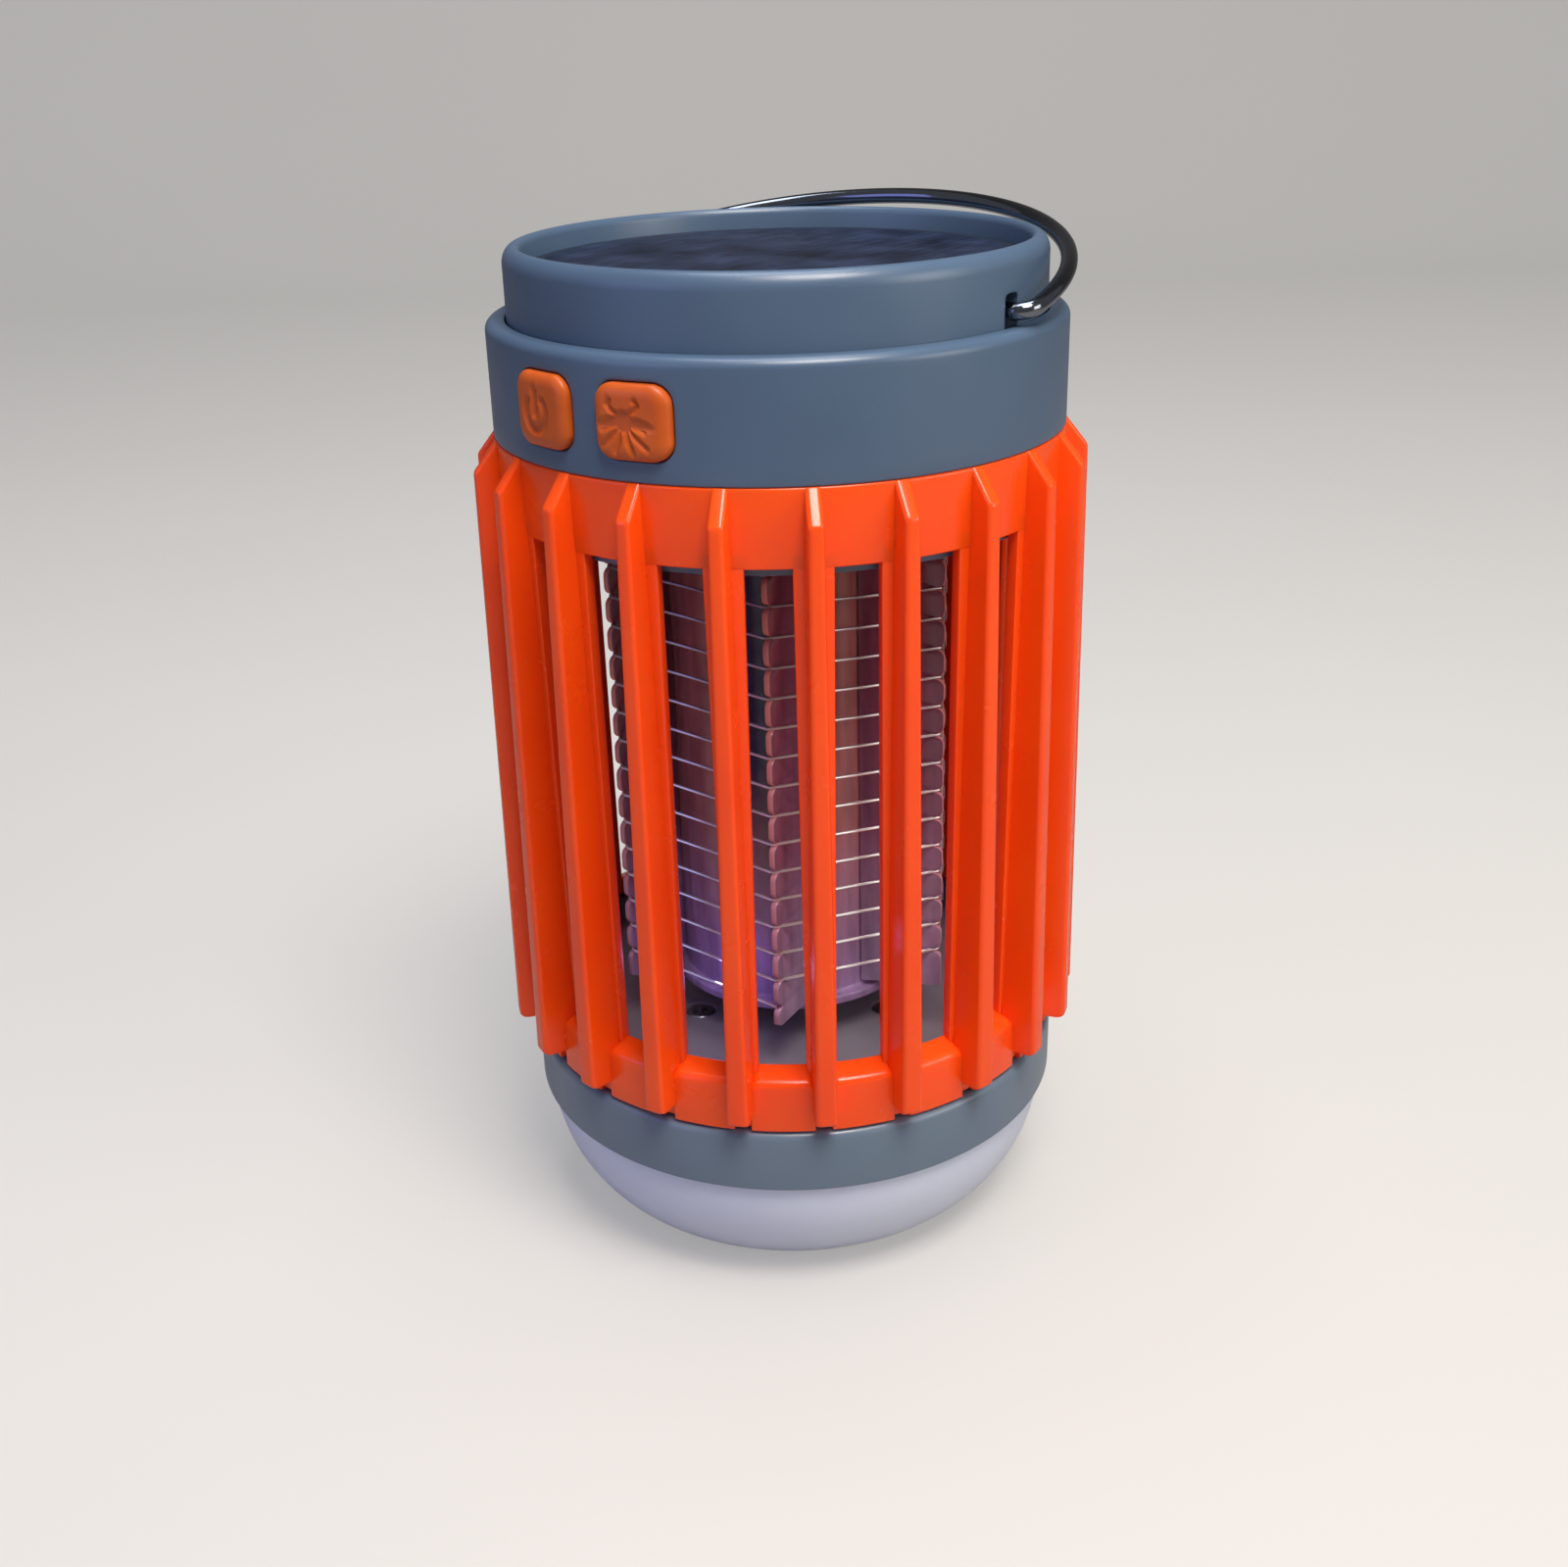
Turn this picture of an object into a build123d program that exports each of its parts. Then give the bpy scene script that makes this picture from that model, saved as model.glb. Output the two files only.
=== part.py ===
from build123d import *
import os
from math import cos, sin, tan, radians, pi, sqrt

# Solar bug-zapper lantern. Millimetres, +Z up, origin under the middle of the diffuser's flat
# foot. The buttons face -Y and the bail turns about a line along X. Angles about Z are measured
# from -Y towards +X.

# ---- driving dimensions ------------------------------------------------------------------
# running and assembly clearances
running_gap = 0.08       # a pin or stem in its bore
slide_gap = 0.2          # a button in its window
fit_gap = 0.3            # a spigot in its socket
turn_gap = 0.3           # base ring under the cage

# diffuser dome
diffuser_step = 1.3      # dome inside the base ring's wall
diffuser_height = 22.7
diffuser_bulge = 18.1    # radial half-axis of the dome's quarter ellipse
diffuser_wall = 2.0
diffuser_spigot = 4.3
diffuser_spigot_wall = 1.8

# base ring and tray
base_step = 0.3          # base ring proud of the cage's foot
base_height = 10.6
base_wall = 2.2
base_edge = 2.0          # rounding of the ring's top edge
tray_floor = 2.0
tray_rise = 1.7          # tray floor above the ring's top
tray_spigot_height = 6.5
tray_spigot_wall = 1.8
twist_angle = 20.0       # bayonet turn that frees the base
lug_count = 3
lug_span = 12.0          # degrees
lug_height = 1.8
lug_depth = 1.2
lug_rise = 2.7           # lug above the cage's bottom edge

# cage
cage_height = 102.7
cage_top_radius = 44.5
cage_draft = 1.5         # fall of the wall's radius from its top to the sill
cage_wall = 2.0
foot_step = 0.6          # foot proud of the cage's top
foot_wall = 2.3
foot_ledge = 2.0         # thickness under the sill's inner edge
foot_height = 10.4       # bottom edge to the sill's inner edge
sill_drop = 1.6          # fall of the sill from its inner to its outer edge
sill_edge = 1.6          # rounding of the sill's outer edge
top_ring_height = 11.5
fin_count = 22
fin_phase = 9.7
fin_top_reach = 3.7      # fins beyond the cage's top radius
fin_bottom_reach = 4.5
fin_bottom_rise = 3.0    # fin's lower end above the cage's bottom edge
fin_chamfer_height = 4.7
fin_top_thickness = 2.3
fin_bottom_thickness = 3.4
fin_toe = 0.8            # small chamfer at the fin's lower corner
window_top_width = 6.7
window_bottom_width = 7.5
cage_lug_spread = 28.0   # degrees each side of the bail's axis
cage_lug_width = 8.0
cage_lug_height = 6.0
cage_lug_inset = 6.1     # screw circle inside the cage's top radius

# band (upper housing)
band_height = 17.3
band_wall = 2.2
band_floor = 2.2
band_shoulder = 1.8
skirt_depth = 13.0
skirt_wall = 1.6
former_boss_height = 3.0
former_screw_step = 3.0  # screws outside the grid's tube
former_screw_count = 3
former_screw_phase = 60.0

# collar and solar panel
collar_step = 3.3        # collar inside the band's wall
collar_top = 11.4        # collar's top above the band's top
collar_inset = 1.6       # collar's skirt below the band's top
collar_lip = 1.9         # outer rounding of the lip
lip_inner_edge = 0.4
collar_wall = 2.0
lip_width = 2.4
panel_inset = 3.2        # panel's edge inside the collar
panel_recess = 4.1       # lip top to the panel's face
cover_thickness = 1.0
cell_thickness = 0.3
backing_thickness = 1.0
seal_thickness = 0.5
ledge_width = 2.0
ledge_thickness = 1.6
cell_count = 8
cell_gap = 0.6
cell_margin = 2.2

# collar screws and posts
post_count = 4
post_phase = 45.0
post_inset = 10.3        # post circle inside the band's radius
post_radius = 3.6
post_seat_rise = 8.0     # screw seat inside the post, above the band's bottom
rim_screw_length = 12.5
post_web = 2.4

# bail
wire_diameter = 2.5
bail_side_gap = 2.6      # wire's middle line beside the collar
bail_back_gap = 1.8      # and behind it
bail_bend = 2.6
bail_rest_angle = 15.0   # above the horizontal, folded to the back
pivot_rise = 2.1         # pivot above the band's top
slot_width = 3.6
pin_head_diameter = 3.8
pin_head_length = 1.1
pin_head_gap = 1.4       # head inside its cradle, clear of the panel's ledge
cradle_width = 5.4
cradle_wall = 2.0

# buttons and switches
button_width = 12.0
button_height = 11.1
button_corner = 2.8
button_proud = 1.4
button_edge = 0.9
button_offset = 8.2      # each button's centre from the middle plane
button_rise = 8.8        # centre above the band's bottom
button_travel = 1.0
button_lip = 0.9
button_lip_thickness = 1.4
nub_diameter = 3.4
stem_diameter = 3.0
switch_size = 6.0
switch_depth = 3.5
stem_overtravel = 0.3    # stem left proud when the button is pressed home

# boards and parts in the band
board_thickness = 1.6
control_board_room = 2.5 # board's width short of the band's radius
control_board_height = 15.0
control_board_inset = 9.7 # its front face inside the band's wall
board_foot_gap = 1.0
guide_size = 3.4
guide_depth = 5.1
guide_bite = 1.2
transformer_size = (13.0, 10.5, 12.0)
capacitor_size = (10.0, 5.0, 9.0)
chip_size = (5.0, 1.5, 4.0)
cell_diameter = 18.2
cell_end_gap = 3.0       # cell's end to the bail's pin: a cell 65 long
cell_centre_y = 2.0
holder_base = 1.2
saddle_width = 5.0
saddle_inset = 12.5      # saddle's middle from the cell's end
saddle_height = 6.5
holder_depth = 13.5
saddle_gap = 0.15        # cell in its saddles
cell_edge = 0.6

# charging port at the back
port_width = 12.0
port_height = 6.4
port_rise = 8.2          # centre above the band's bottom
port_corner = 1.5
plug_flange = 1.4
plug_flange_thickness = 1.2
plug_depth = 3.2
socket_size = (7.8, 5.4, 2.9)
socket_wall = 0.4
plug_wall = 1.2
charge_board_size = (16.0, 13.0, 1.2)
charge_board_inset = 1.2 # board's edge inside the band's wall

# grid former, wires and UV light
rib_count = 6
rib_phase = 32.7
grid_clearance = 14.0    # ribs inside the cage's top radius
rib_thickness = 1.4
notch_depth = 1.3
notch_width = 0.7
notch_mouth = 1.7
notch_pitch = 4.82       # between the two interleaved wires
lowest_notch = 13.8      # first notch above the cage's bottom edge
notch_headroom = 1.3     # highest notch at least this far below the flange
rib_toe = 3.4
tube_radius = 19.0
tube_wall = 1.6
foot_disc_step = 1.8     # disc outside the tube
foot_disc_thickness = 1.6
foot_disc_drop = 1.0     # disc's top below the ribs' toes
former_flange_margin = 3.0  # flange outside its screws' circle
former_flange_thickness = 2.4
grid_wire_diameter = 0.5
terminal_diameter = 2.4
terminal_reach = 2.0     # wire end past its last rib
uv_board_gap = 0.4       # board inside the tube's bore
uv_board_thickness = 1.2
uv_led_count = 4
uv_led_inset = 2.8       # LEDs' circle inside the board's edge
uv_led_phase = -24.0
uv_led_diameter = 3.0
uv_led_height = 2.2
cable_tube_diameter = 8.0
cable_tube_wall = 1.0
cable_flange_radius = 5.2
cable_flange_height = 2.0
lead_diameter = 1.2
lead_spacing = 2.6

# lamp in the base
lamp_board_radius = 30.0
lamp_led_count = 8
lamp_led_circle = 24.0
lamp_led_size = (3.5, 2.8, 0.8)
reflector_wall = 1.2
reflector_drop = 3.7     # rim below the plate
reflector_gap = 1.6      # rim inside the diffuser's wall
lamp_led_gap = 0.3
tray_screw_count = 3
tray_screw_circle = 18.7
tray_screw_phase = -24.0
boss_radius = 3.2
tray_boss_height = 2.0
reflector_boss_height = 3.4

# screws
screw_diameter = 2.4
screw_head_diameter = 4.6
screw_head_height = 1.5
screw_hole_gap = 0.1
drive_width = 0.8
drive_depth = 0.7

# ---- radii and levels worked out from them -----------------------------------------------
cage_sill_radius = cage_top_radius - cage_draft
foot_radius = cage_top_radius + foot_step
fin_top_radius = cage_top_radius + fin_top_reach
fin_bottom_radius = cage_top_radius + fin_bottom_reach
cage_lug_radius = cage_top_radius - cage_lug_inset
base_radius = foot_radius + base_step
diffuser_radius = base_radius - diffuser_step
collar_radius = cage_top_radius - collar_step
lip_inner_radius = collar_radius - lip_width
panel_radius = collar_radius - panel_inset
post_circle = cage_top_radius - post_inset
bail_half_span = collar_radius + bail_side_gap
bail_depth = collar_radius + bail_back_gap
rib_radius = cage_top_radius - grid_clearance
foot_disc_radius = tube_radius + foot_disc_step
former_screw_circle = tube_radius + former_screw_step
former_flange_radius = former_screw_circle + former_flange_margin
uv_board_radius = tube_radius - tube_wall - uv_board_gap
uv_led_circle = uv_board_radius - uv_led_inset
ring_bottom = diffuser_height
ring_top = ring_bottom + base_height
cage_bottom = ring_top + turn_gap
sill = cage_bottom + foot_height
cage_top = cage_bottom + cage_height
window_top = cage_top - top_ring_height
band_bottom = cage_top
band_top = band_bottom + band_height
deck = band_bottom + band_floor
pivot_z = band_top + pivot_rise
collar_bottom = band_top - collar_inset
collar_crest = band_top + collar_top
panel_face = collar_crest - panel_recess
cell_base = panel_face - cover_thickness
board_base = cell_base - cell_thickness - backing_thickness
ledge_top = board_base - seal_thickness
tray_top = ring_top + tray_rise
tray_under = tray_top - tray_floor
foot_inner = foot_radius - foot_wall
spigot_radius = foot_inner - fit_gap
band_inner = cage_top_radius - band_wall
wire_radius = wire_diameter / 2
control_board_width = cage_top_radius - control_board_room
control_board_y = control_board_inset - band_inner
button_z = band_bottom + button_rise
port_z = band_bottom + port_rise
stem_proud = button_travel + stem_overtravel
stem_face_y = control_board_y - switch_depth - stem_proud
former_bottom = cage_bottom + lowest_notch - rib_toe
disc_top = former_bottom - foot_disc_drop
lamp_top = tray_under - tray_boss_height
lamp_bottom = lamp_top - board_thickness
reflector_bottom = lamp_bottom - reflector_wall
tray_screw_seat = tray_top - screw_head_height - 0.1
tray_screw_length = tray_screw_seat - reflector_bottom + reflector_boss_height - 1.4
cage_screw_length = cage_lug_height + band_floor - 1.4
former_screw_length = former_flange_thickness + band_floor + former_boss_height - 1.0
cradle_outer = collar_radius - collar_wall - fit_gap
cradle_inner = cradle_outer - cradle_wall
cell_length = 2 * (cradle_inner - pin_head_gap - cell_end_gap)
saddle_spacing = cell_length - 2 * saddle_inset
post_seat = band_bottom + post_seat_rise
control_board_bottom = deck + board_foot_gap
board_back_y = control_board_y + board_thickness
charge_board_bottom = port_z - socket_size[2] / 2 - charge_board_size[2]
charge_board_y = band_inner - charge_board_inset - charge_board_size[1] / 2
cell_centre_z = deck + holder_base + 0.2 + cell_diameter / 2
highest_rise = 2 / 3     # of a pitch: the wires' largest rise between ribs
notch_room = cage_height - lowest_notch - former_flange_thickness - notch_headroom
notch_count = int(notch_room / notch_pitch - highest_rise) + 1
turn_count = (notch_count - 2) // 2
screw_hole = screw_diameter / 2 + screw_hole_gap

os.makedirs("parts", exist_ok=True)


# ---- helpers -----------------------------------------------------------------------------
def put(radius, angle, z=0.0):
    """Place by radius, angle about Z and height, turned to face outwards."""
    return Rot(0, 0, angle) * Pos(0, -radius, z)


def post(radius, bottom, top):
    """Upright cylinder on the axis between two heights."""
    base = (Align.CENTER, Align.CENTER, Align.MIN)
    return Pos(0, 0, bottom) * Cylinder(radius, top - bottom, align=base)


def ring(outer, inner, bottom, top):
    """Upright tube on the axis between two heights."""
    return post(outer, bottom, top) - post(inner, bottom - 1, top + 1)


def block(size, centre):
    """Box by its size and centre."""
    return Pos(*centre) * Box(*size)


def slab(width, height, corner, y_from, y_to, x=0.0, z=0.0):
    """Rounded rectangle in the XZ plane, extruded along Y between two places."""
    face = RectangleRounded(width, height, corner)
    solid = extrude(Plane.XZ * face, -(y_to - y_from))
    return Pos(x, y_from, z) * solid


def rod(diameter, y_from, y_to, x=0.0, z=0.0):
    """Round bar along Y between two places."""
    solid = extrude(Plane.XZ * Circle(diameter / 2), -(y_to - y_from))
    return Pos(x, y_from, z) * solid


def turned(points):
    """Solid of revolution from corner points given as (radius, z)."""
    face = make_face(Polyline(*[(r, 0, z) for r, z in points], close=True))
    return revolve(face, Axis.Z)


def screw(length):
    """Pan-head screw, head up, its seat at z 0 and the shank pointing down."""
    head = post(screw_head_diameter / 2, 0, screw_head_height)
    head = fillet(head.edges().group_by(Axis.Z)[-1], screw_head_height * 0.4)
    body = head + post(screw_diameter / 2, -length, 0)
    arm = screw_head_diameter * 0.62
    for turn in (0, 90):
        body -= Pos(0, 0, screw_head_height) * Rot(0, 0, turn) * Box(arm, drive_width, 2 * drive_depth)
    return body


def save(name, shape):
    """Write one node."""
    export_step(shape, f"parts/{name}.step")


def angles(count, phase):
    """Evenly spaced angles about Z."""
    return [phase + 360 / count * k for k in range(count)]


def sector(outer, inner, bottom, top, span, centre):
    """Part of an upright tube over an angle about Z."""
    points = [(inner, bottom), (outer, bottom), (outer, top), (inner, top)]
    face = make_face(Polyline(*[(r, 0, z) for r, z in points], close=True))
    return Rot(0, 0, centre - 90 - span / 2) * revolve(face, Axis.Z, revolution_arc=span)


def round_edge(solid, radius, z, size):
    """Round the full-circle edges of one radius at one height."""
    edges = solid.edges().filter_by(GeomType.CIRCLE)
    wanted = edges.filter_by(lambda e: abs(e.radius - radius) < 0.01 and abs(e.center().Z - z) < 0.01)
    return fillet(wanted, size)


def joined(solids):
    """One solid from overlapping pieces."""
    first, *rest = solids
    return first.fuse(*rest) if rest else first


# ---- base: diffuser, ring with tray, lamp ------------------------------------------------
def dome(inset):
    """Solid dome with its foot flat on the ground, offset inwards."""
    flat = diffuser_radius - diffuser_bulge
    centre = (flat, diffuser_height)
    arc = EllipticalCenterArc(centre, diffuser_bulge - inset, diffuser_height - inset, 270, arc_size=90)
    rim = diffuser_radius - inset
    outline = Polyline((flat, inset), (0, inset), (0, diffuser_height), (rim, diffuser_height))
    return revolve(Plane.XZ * make_face(outline + arc), Axis.Z)


def make_diffuser():
    spigot = base_radius - base_wall - fit_gap
    shell = dome(0) - dome(diffuser_wall)
    top = diffuser_height + diffuser_spigot
    return shell + ring(spigot, spigot - diffuser_spigot_wall, diffuser_height - 2, top)


def tray_screw_places(z):
    return [put(tray_screw_circle, a, z) for a in angles(tray_screw_count, tray_screw_phase)]


def make_base_ring():
    """Base ring, tray floor, bayonet spigot and bosses in one moulding."""
    inner = base_radius - base_wall
    hole = cable_tube_diameter / 2 + fit_gap
    spigot_top = ring_top + tray_spigot_height
    body = turned([
        (inner, ring_bottom), (base_radius, ring_bottom), (base_radius, ring_top),
        (spigot_radius, ring_top), (spigot_radius, spigot_top),
        (spigot_radius - tray_spigot_wall, spigot_top), (spigot_radius - tray_spigot_wall, tray_top),
        (hole, tray_top), (hole, tray_under), (inner, tray_under),
    ])
    body = round_edge(body, base_radius, ring_top, base_edge)
    lug_bottom = cage_bottom + lug_rise
    for a in angles(lug_count, 0):
        body += sector(spigot_radius + lug_depth, spigot_radius - 0.5, lug_bottom, lug_bottom + lug_height,
                       lug_span, a)
    for place in tray_screw_places(0):
        body += place * post(boss_radius, lamp_top, tray_under + 0.5)
        body -= place * post(screw_head_diameter / 2 + fit_gap, tray_screw_seat, tray_top + 1)
        body -= place * post(screw_hole, lamp_top - 1, tray_screw_seat + 1)
    return body


def make_lamp_board():
    board = ring(lamp_board_radius, cable_tube_diameter / 2 + fit_gap, lamp_bottom, lamp_top)
    for place in tray_screw_places(0):
        board -= place * post(screw_hole, lamp_bottom - 1, lamp_top + 1)
    return board


def lamp_led_places():
    return [put(lamp_led_circle, a) for a in angles(lamp_led_count, 10)]


def make_lamp_leds():
    z = lamp_bottom - lamp_led_size[2] / 2
    return Compound([place * block(lamp_led_size, (0, 0, z)) for place in lamp_led_places()])


def make_reflector():
    """White plate under the lamp board with windows for the LEDs and a sloping rim."""
    rim = diffuser_radius - diffuser_wall - reflector_gap
    edge = lamp_board_radius
    body = turned([
        (0, reflector_bottom), (edge, reflector_bottom), (rim, reflector_bottom - reflector_drop),
        (rim, lamp_bottom - reflector_drop), (edge, lamp_bottom), (0, lamp_bottom),
    ])
    window = (lamp_led_size[0] + 2 * lamp_led_gap, lamp_led_size[1] + 2 * lamp_led_gap, 4 * reflector_wall)
    for place in lamp_led_places():
        body -= place * block(window, (0, 0, lamp_bottom))
    for place in tray_screw_places(0):
        body += place * post(boss_radius - 0.6, reflector_bottom - reflector_boss_height, lamp_bottom)
        body -= place * post(screw_hole, tray_screw_seat - tray_screw_length - 0.3, lamp_bottom + 1)
    return body


def make_tray_screws():
    return Compound([place * screw(tray_screw_length) for place in tray_screw_places(tray_screw_seat)])


# ---- cage: one moulding, cut at the window ends into three nodes -------------------------
def cage_wall_radius(z):
    """Outer radius of the slightly conical wall."""
    return cage_top_radius - (cage_top - z) * (cage_top_radius - cage_sill_radius) / (cage_top - sill)


def make_fin():
    """One fin standing out along +X: a radial outline met with a taper in thickness."""
    bottom = cage_bottom + fin_bottom_rise
    inner = foot_inner + 0.1
    side = [
        (inner, bottom), (fin_bottom_radius - fin_toe, bottom), (fin_bottom_radius, bottom + fin_toe),
        (fin_top_radius, cage_top - fin_chamfer_height), (cage_top_radius, cage_top), (inner, cage_top),
    ]
    plate = extrude(Plane.XZ * make_face(Polyline(*side, close=True)), fin_bottom_thickness, both=True)
    low, high = fin_bottom_thickness / 2, fin_top_thickness / 2
    front = [(-low, bottom - 1), (low, bottom - 1), (high, cage_top + 1), (-high, cage_top + 1)]
    wedge = extrude(Plane.YZ * make_face(Polyline(*front, close=True)), fin_bottom_radius + 1)
    return plate & wedge


def make_window(bottom):
    """Cutter for one window, facing -Y."""
    low, high = window_bottom_width / 2, window_top_width / 2
    front = [(-low, bottom), (low, bottom), (high, window_top), (-high, window_top)]
    face = Plane.XZ * make_face(Polyline(*front, close=True))
    return extrude(face, cage_top_radius + 2) - post(cage_sill_radius - cage_wall - 2, bottom - 1, cage_top)


def cage_lug_places(radius, z):
    return [put(radius, side + turn, z) for side in (90, 270) for turn in (-cage_lug_spread, cage_lug_spread)]


def bayonet_cuts():
    """Grooves that take the base ring's lugs: a slot up from below, then along the turn."""
    low = cage_bottom + lug_rise - fit_gap
    high = cage_bottom + lug_rise + lug_height + fit_gap
    outer = spigot_radius + lug_depth + fit_gap
    cuts = []
    for a in angles(lug_count, 0):
        cuts.append(sector(outer, foot_inner - 1, low, high, lug_span + twist_angle + 2, a + twist_angle / 2))
        cuts.append(sector(outer, foot_inner - 1, cage_bottom - 1, high, lug_span + 2, a + twist_angle))
    return cuts


def make_cage():
    low = sill - sill_drop - 0.6
    inner_sill = cage_sill_radius - cage_wall
    wall = turned([
        (cage_wall_radius(low) - cage_wall, low), (cage_wall_radius(low), low),
        (cage_top_radius, cage_top), (cage_top_radius - cage_wall, cage_top),
    ])
    window = make_window(low - 1)
    step = 360 / fin_count
    wall = wall.cut(*[Rot(0, 0, a + step / 2) * window for a in angles(fin_count, fin_phase)])
    foot = turned([
        (foot_inner, cage_bottom), (foot_radius, cage_bottom), (foot_radius, sill - sill_drop),
        (inner_sill, sill), (inner_sill, sill - foot_ledge),
        (foot_inner, sill - foot_ledge - (foot_inner - inner_sill)),
    ])
    foot = round_edge(foot, foot_radius, sill - sill_drop, sill_edge)
    fin = make_fin()
    pieces = [wall, foot] + [Rot(0, 0, a - 90) * fin for a in angles(fin_count, fin_phase)]
    lug_inner = cage_lug_radius - cage_lug_width / 2
    reach = cage_top_radius - cage_wall / 2 - lug_inner
    for place in cage_lug_places(lug_inner + reach / 2, cage_top - cage_lug_height / 2):
        pieces.append(place * Box(cage_lug_width, reach, cage_lug_height))
    hole = post(screw_hole, -cage_lug_height + 0.8, 1)
    holes = [p * hole for p in cage_lug_places(cage_lug_radius, cage_top)]
    return joined(pieces).cut(*bayonet_cuts(), *holes)


def slice_between(solid, bottom, top):
    reach = 3 * fin_bottom_radius
    return solid & block((reach, reach, top - bottom), (0, 0, (bottom + top) / 2))


def make_cage_screws():
    return Compound([p * screw(cage_screw_length) for p in cage_lug_places(cage_lug_radius, deck)])


# ---- band: upper housing; its skirt and the fittings on its deck are nodes of their own --
def post_places(z=0.0):
    return [put(post_circle, a, z) for a in angles(post_count, post_phase)]


def former_screw_places(z=0.0):
    return [put(former_screw_circle, a, z) for a in angles(former_screw_count, former_screw_phase)]


def make_cradle():
    """Post inside the collar that carries one bail pin in a half bore, on the +X side."""
    height = pivot_z - deck
    width = cradle_outer - cradle_inner
    body = block((width, cradle_width, height), (cradle_inner + width / 2, 0, pivot_z - height / 2))
    bore = Pos(cradle_inner, 0, pivot_z) * Rot(0, 90, 0) * Cylinder(wire_radius + running_gap, 4 * width)
    return body - bore


def make_board_guide(side):
    """Grooved rib that holds one edge of the control board."""
    bottom = deck
    height = collar_bottom - fit_gap - bottom
    x = side * (control_board_width / 2 + guide_size / 2 - guide_bite)
    y = control_board_y + board_thickness / 2
    rib = block((guide_size, guide_depth, height), (x, y, bottom + height / 2))
    groove = block((control_board_width + 2 * slide_gap, board_thickness + 2 * slide_gap, height + 1),
                   (0, y, deck + height / 2 + board_foot_gap / 2))
    return rib & post(band_inner, deck - 1, band_top) - groove


def make_port_pocket():
    """Opening for the charging plug with a shallow pocket for its flange, at the back."""
    reach = cage_top_radius + 2
    bore = slab(port_width, port_height, port_corner, band_inner - 4, reach, 0, port_z)
    width, height = port_width + 2 * plug_flange, port_height + 2 * plug_flange
    pocket = slab(width, height, port_corner + plug_flange, band_inner - 4, reach, 0, port_z)
    return bore, pocket - post(cage_top_radius - plug_flange_thickness, band_bottom - 1, band_top + 1)


def screw_bores():
    """Bores for the collar's and the former's screws, through the deck and up the posts."""
    head = post(screw_head_diameter / 2 + fit_gap, band_bottom - 1, post_seat)
    cuts = [p * head for p in post_places()]
    cuts += [p * post(screw_hole, band_bottom, collar_bottom + 1) for p in post_places()]
    tip = deck + former_boss_height - 0.6
    cuts += [p * post(screw_hole, band_bottom - 1, tip) for p in former_screw_places()]
    return cuts


def make_skirt():
    """Ring under the deck that closes the top of the windows, notched for the cage's lugs."""
    skirt_bottom = band_bottom - skirt_depth
    skirt_radius = cage_wall_radius(skirt_bottom) - cage_wall - fit_gap
    skirt = ring(skirt_radius, skirt_radius - skirt_wall, skirt_bottom, band_bottom)
    gap = 2 * fit_gap
    lug_room = Box(cage_lug_width + gap, cage_lug_width * 2, 2 * (cage_lug_height + fit_gap))
    return skirt - [p * lug_room for p in cage_lug_places(cage_lug_radius + 2, band_bottom)]


def make_deck_fittings():
    """Posts, bosses, bail cradles, board guides and stands, each standing on the deck."""
    solids = [p * post(post_radius, deck, collar_bottom) for p in post_places()]
    solids += [p * post(boss_radius - 0.4, deck, deck + former_boss_height) for p in former_screw_places()]
    solids += [Rot(0, 0, turn) * make_cradle() for turn in (0, 180)]
    solids += [make_board_guide(side) for side in (-1, 1)]
    stand = charge_board_bottom - deck
    for x in (-charge_board_size[0] / 3, charge_board_size[0] / 3):
        centre = (x, charge_board_y, deck + stand / 2)
        solids.append(block((3, charge_board_size[1] * 0.8, stand), centre))
    cuts = screw_bores()
    return Compound([solid.cut(*cuts) for solid in solids])


def make_band():
    body = turned([
        (0, band_bottom), (cage_top_radius, band_bottom), (cage_top_radius, band_top),
        (band_inner, band_top), (band_inner, deck), (0, deck),
    ])
    body = round_edge(body, cage_top_radius, band_top, band_shoulder)
    cuts = screw_bores()
    cuts += [p * post(screw_hole, band_bottom - 1, deck + 1) for p in cage_lug_places(cage_lug_radius, 0)]
    cuts += [Pos(p.X, p.Y, 0) * post(terminal_diameter / 2 + running_gap, band_bottom - 1, deck + 1)
             for p in terminal_points()]
    cuts.append(post(cable_tube_diameter / 2 + running_gap, band_bottom - 1, deck + 1))
    width, height = button_width + 2 * slide_gap, button_height + 2 * slide_gap
    corner = button_corner + slide_gap
    for x in (-button_offset, button_offset):
        cuts.append(slab(width, height, corner, -cage_top_radius - 2, -band_inner + 6, x, button_z))
    cuts += make_port_pocket()
    return body.cut(*cuts)


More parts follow.
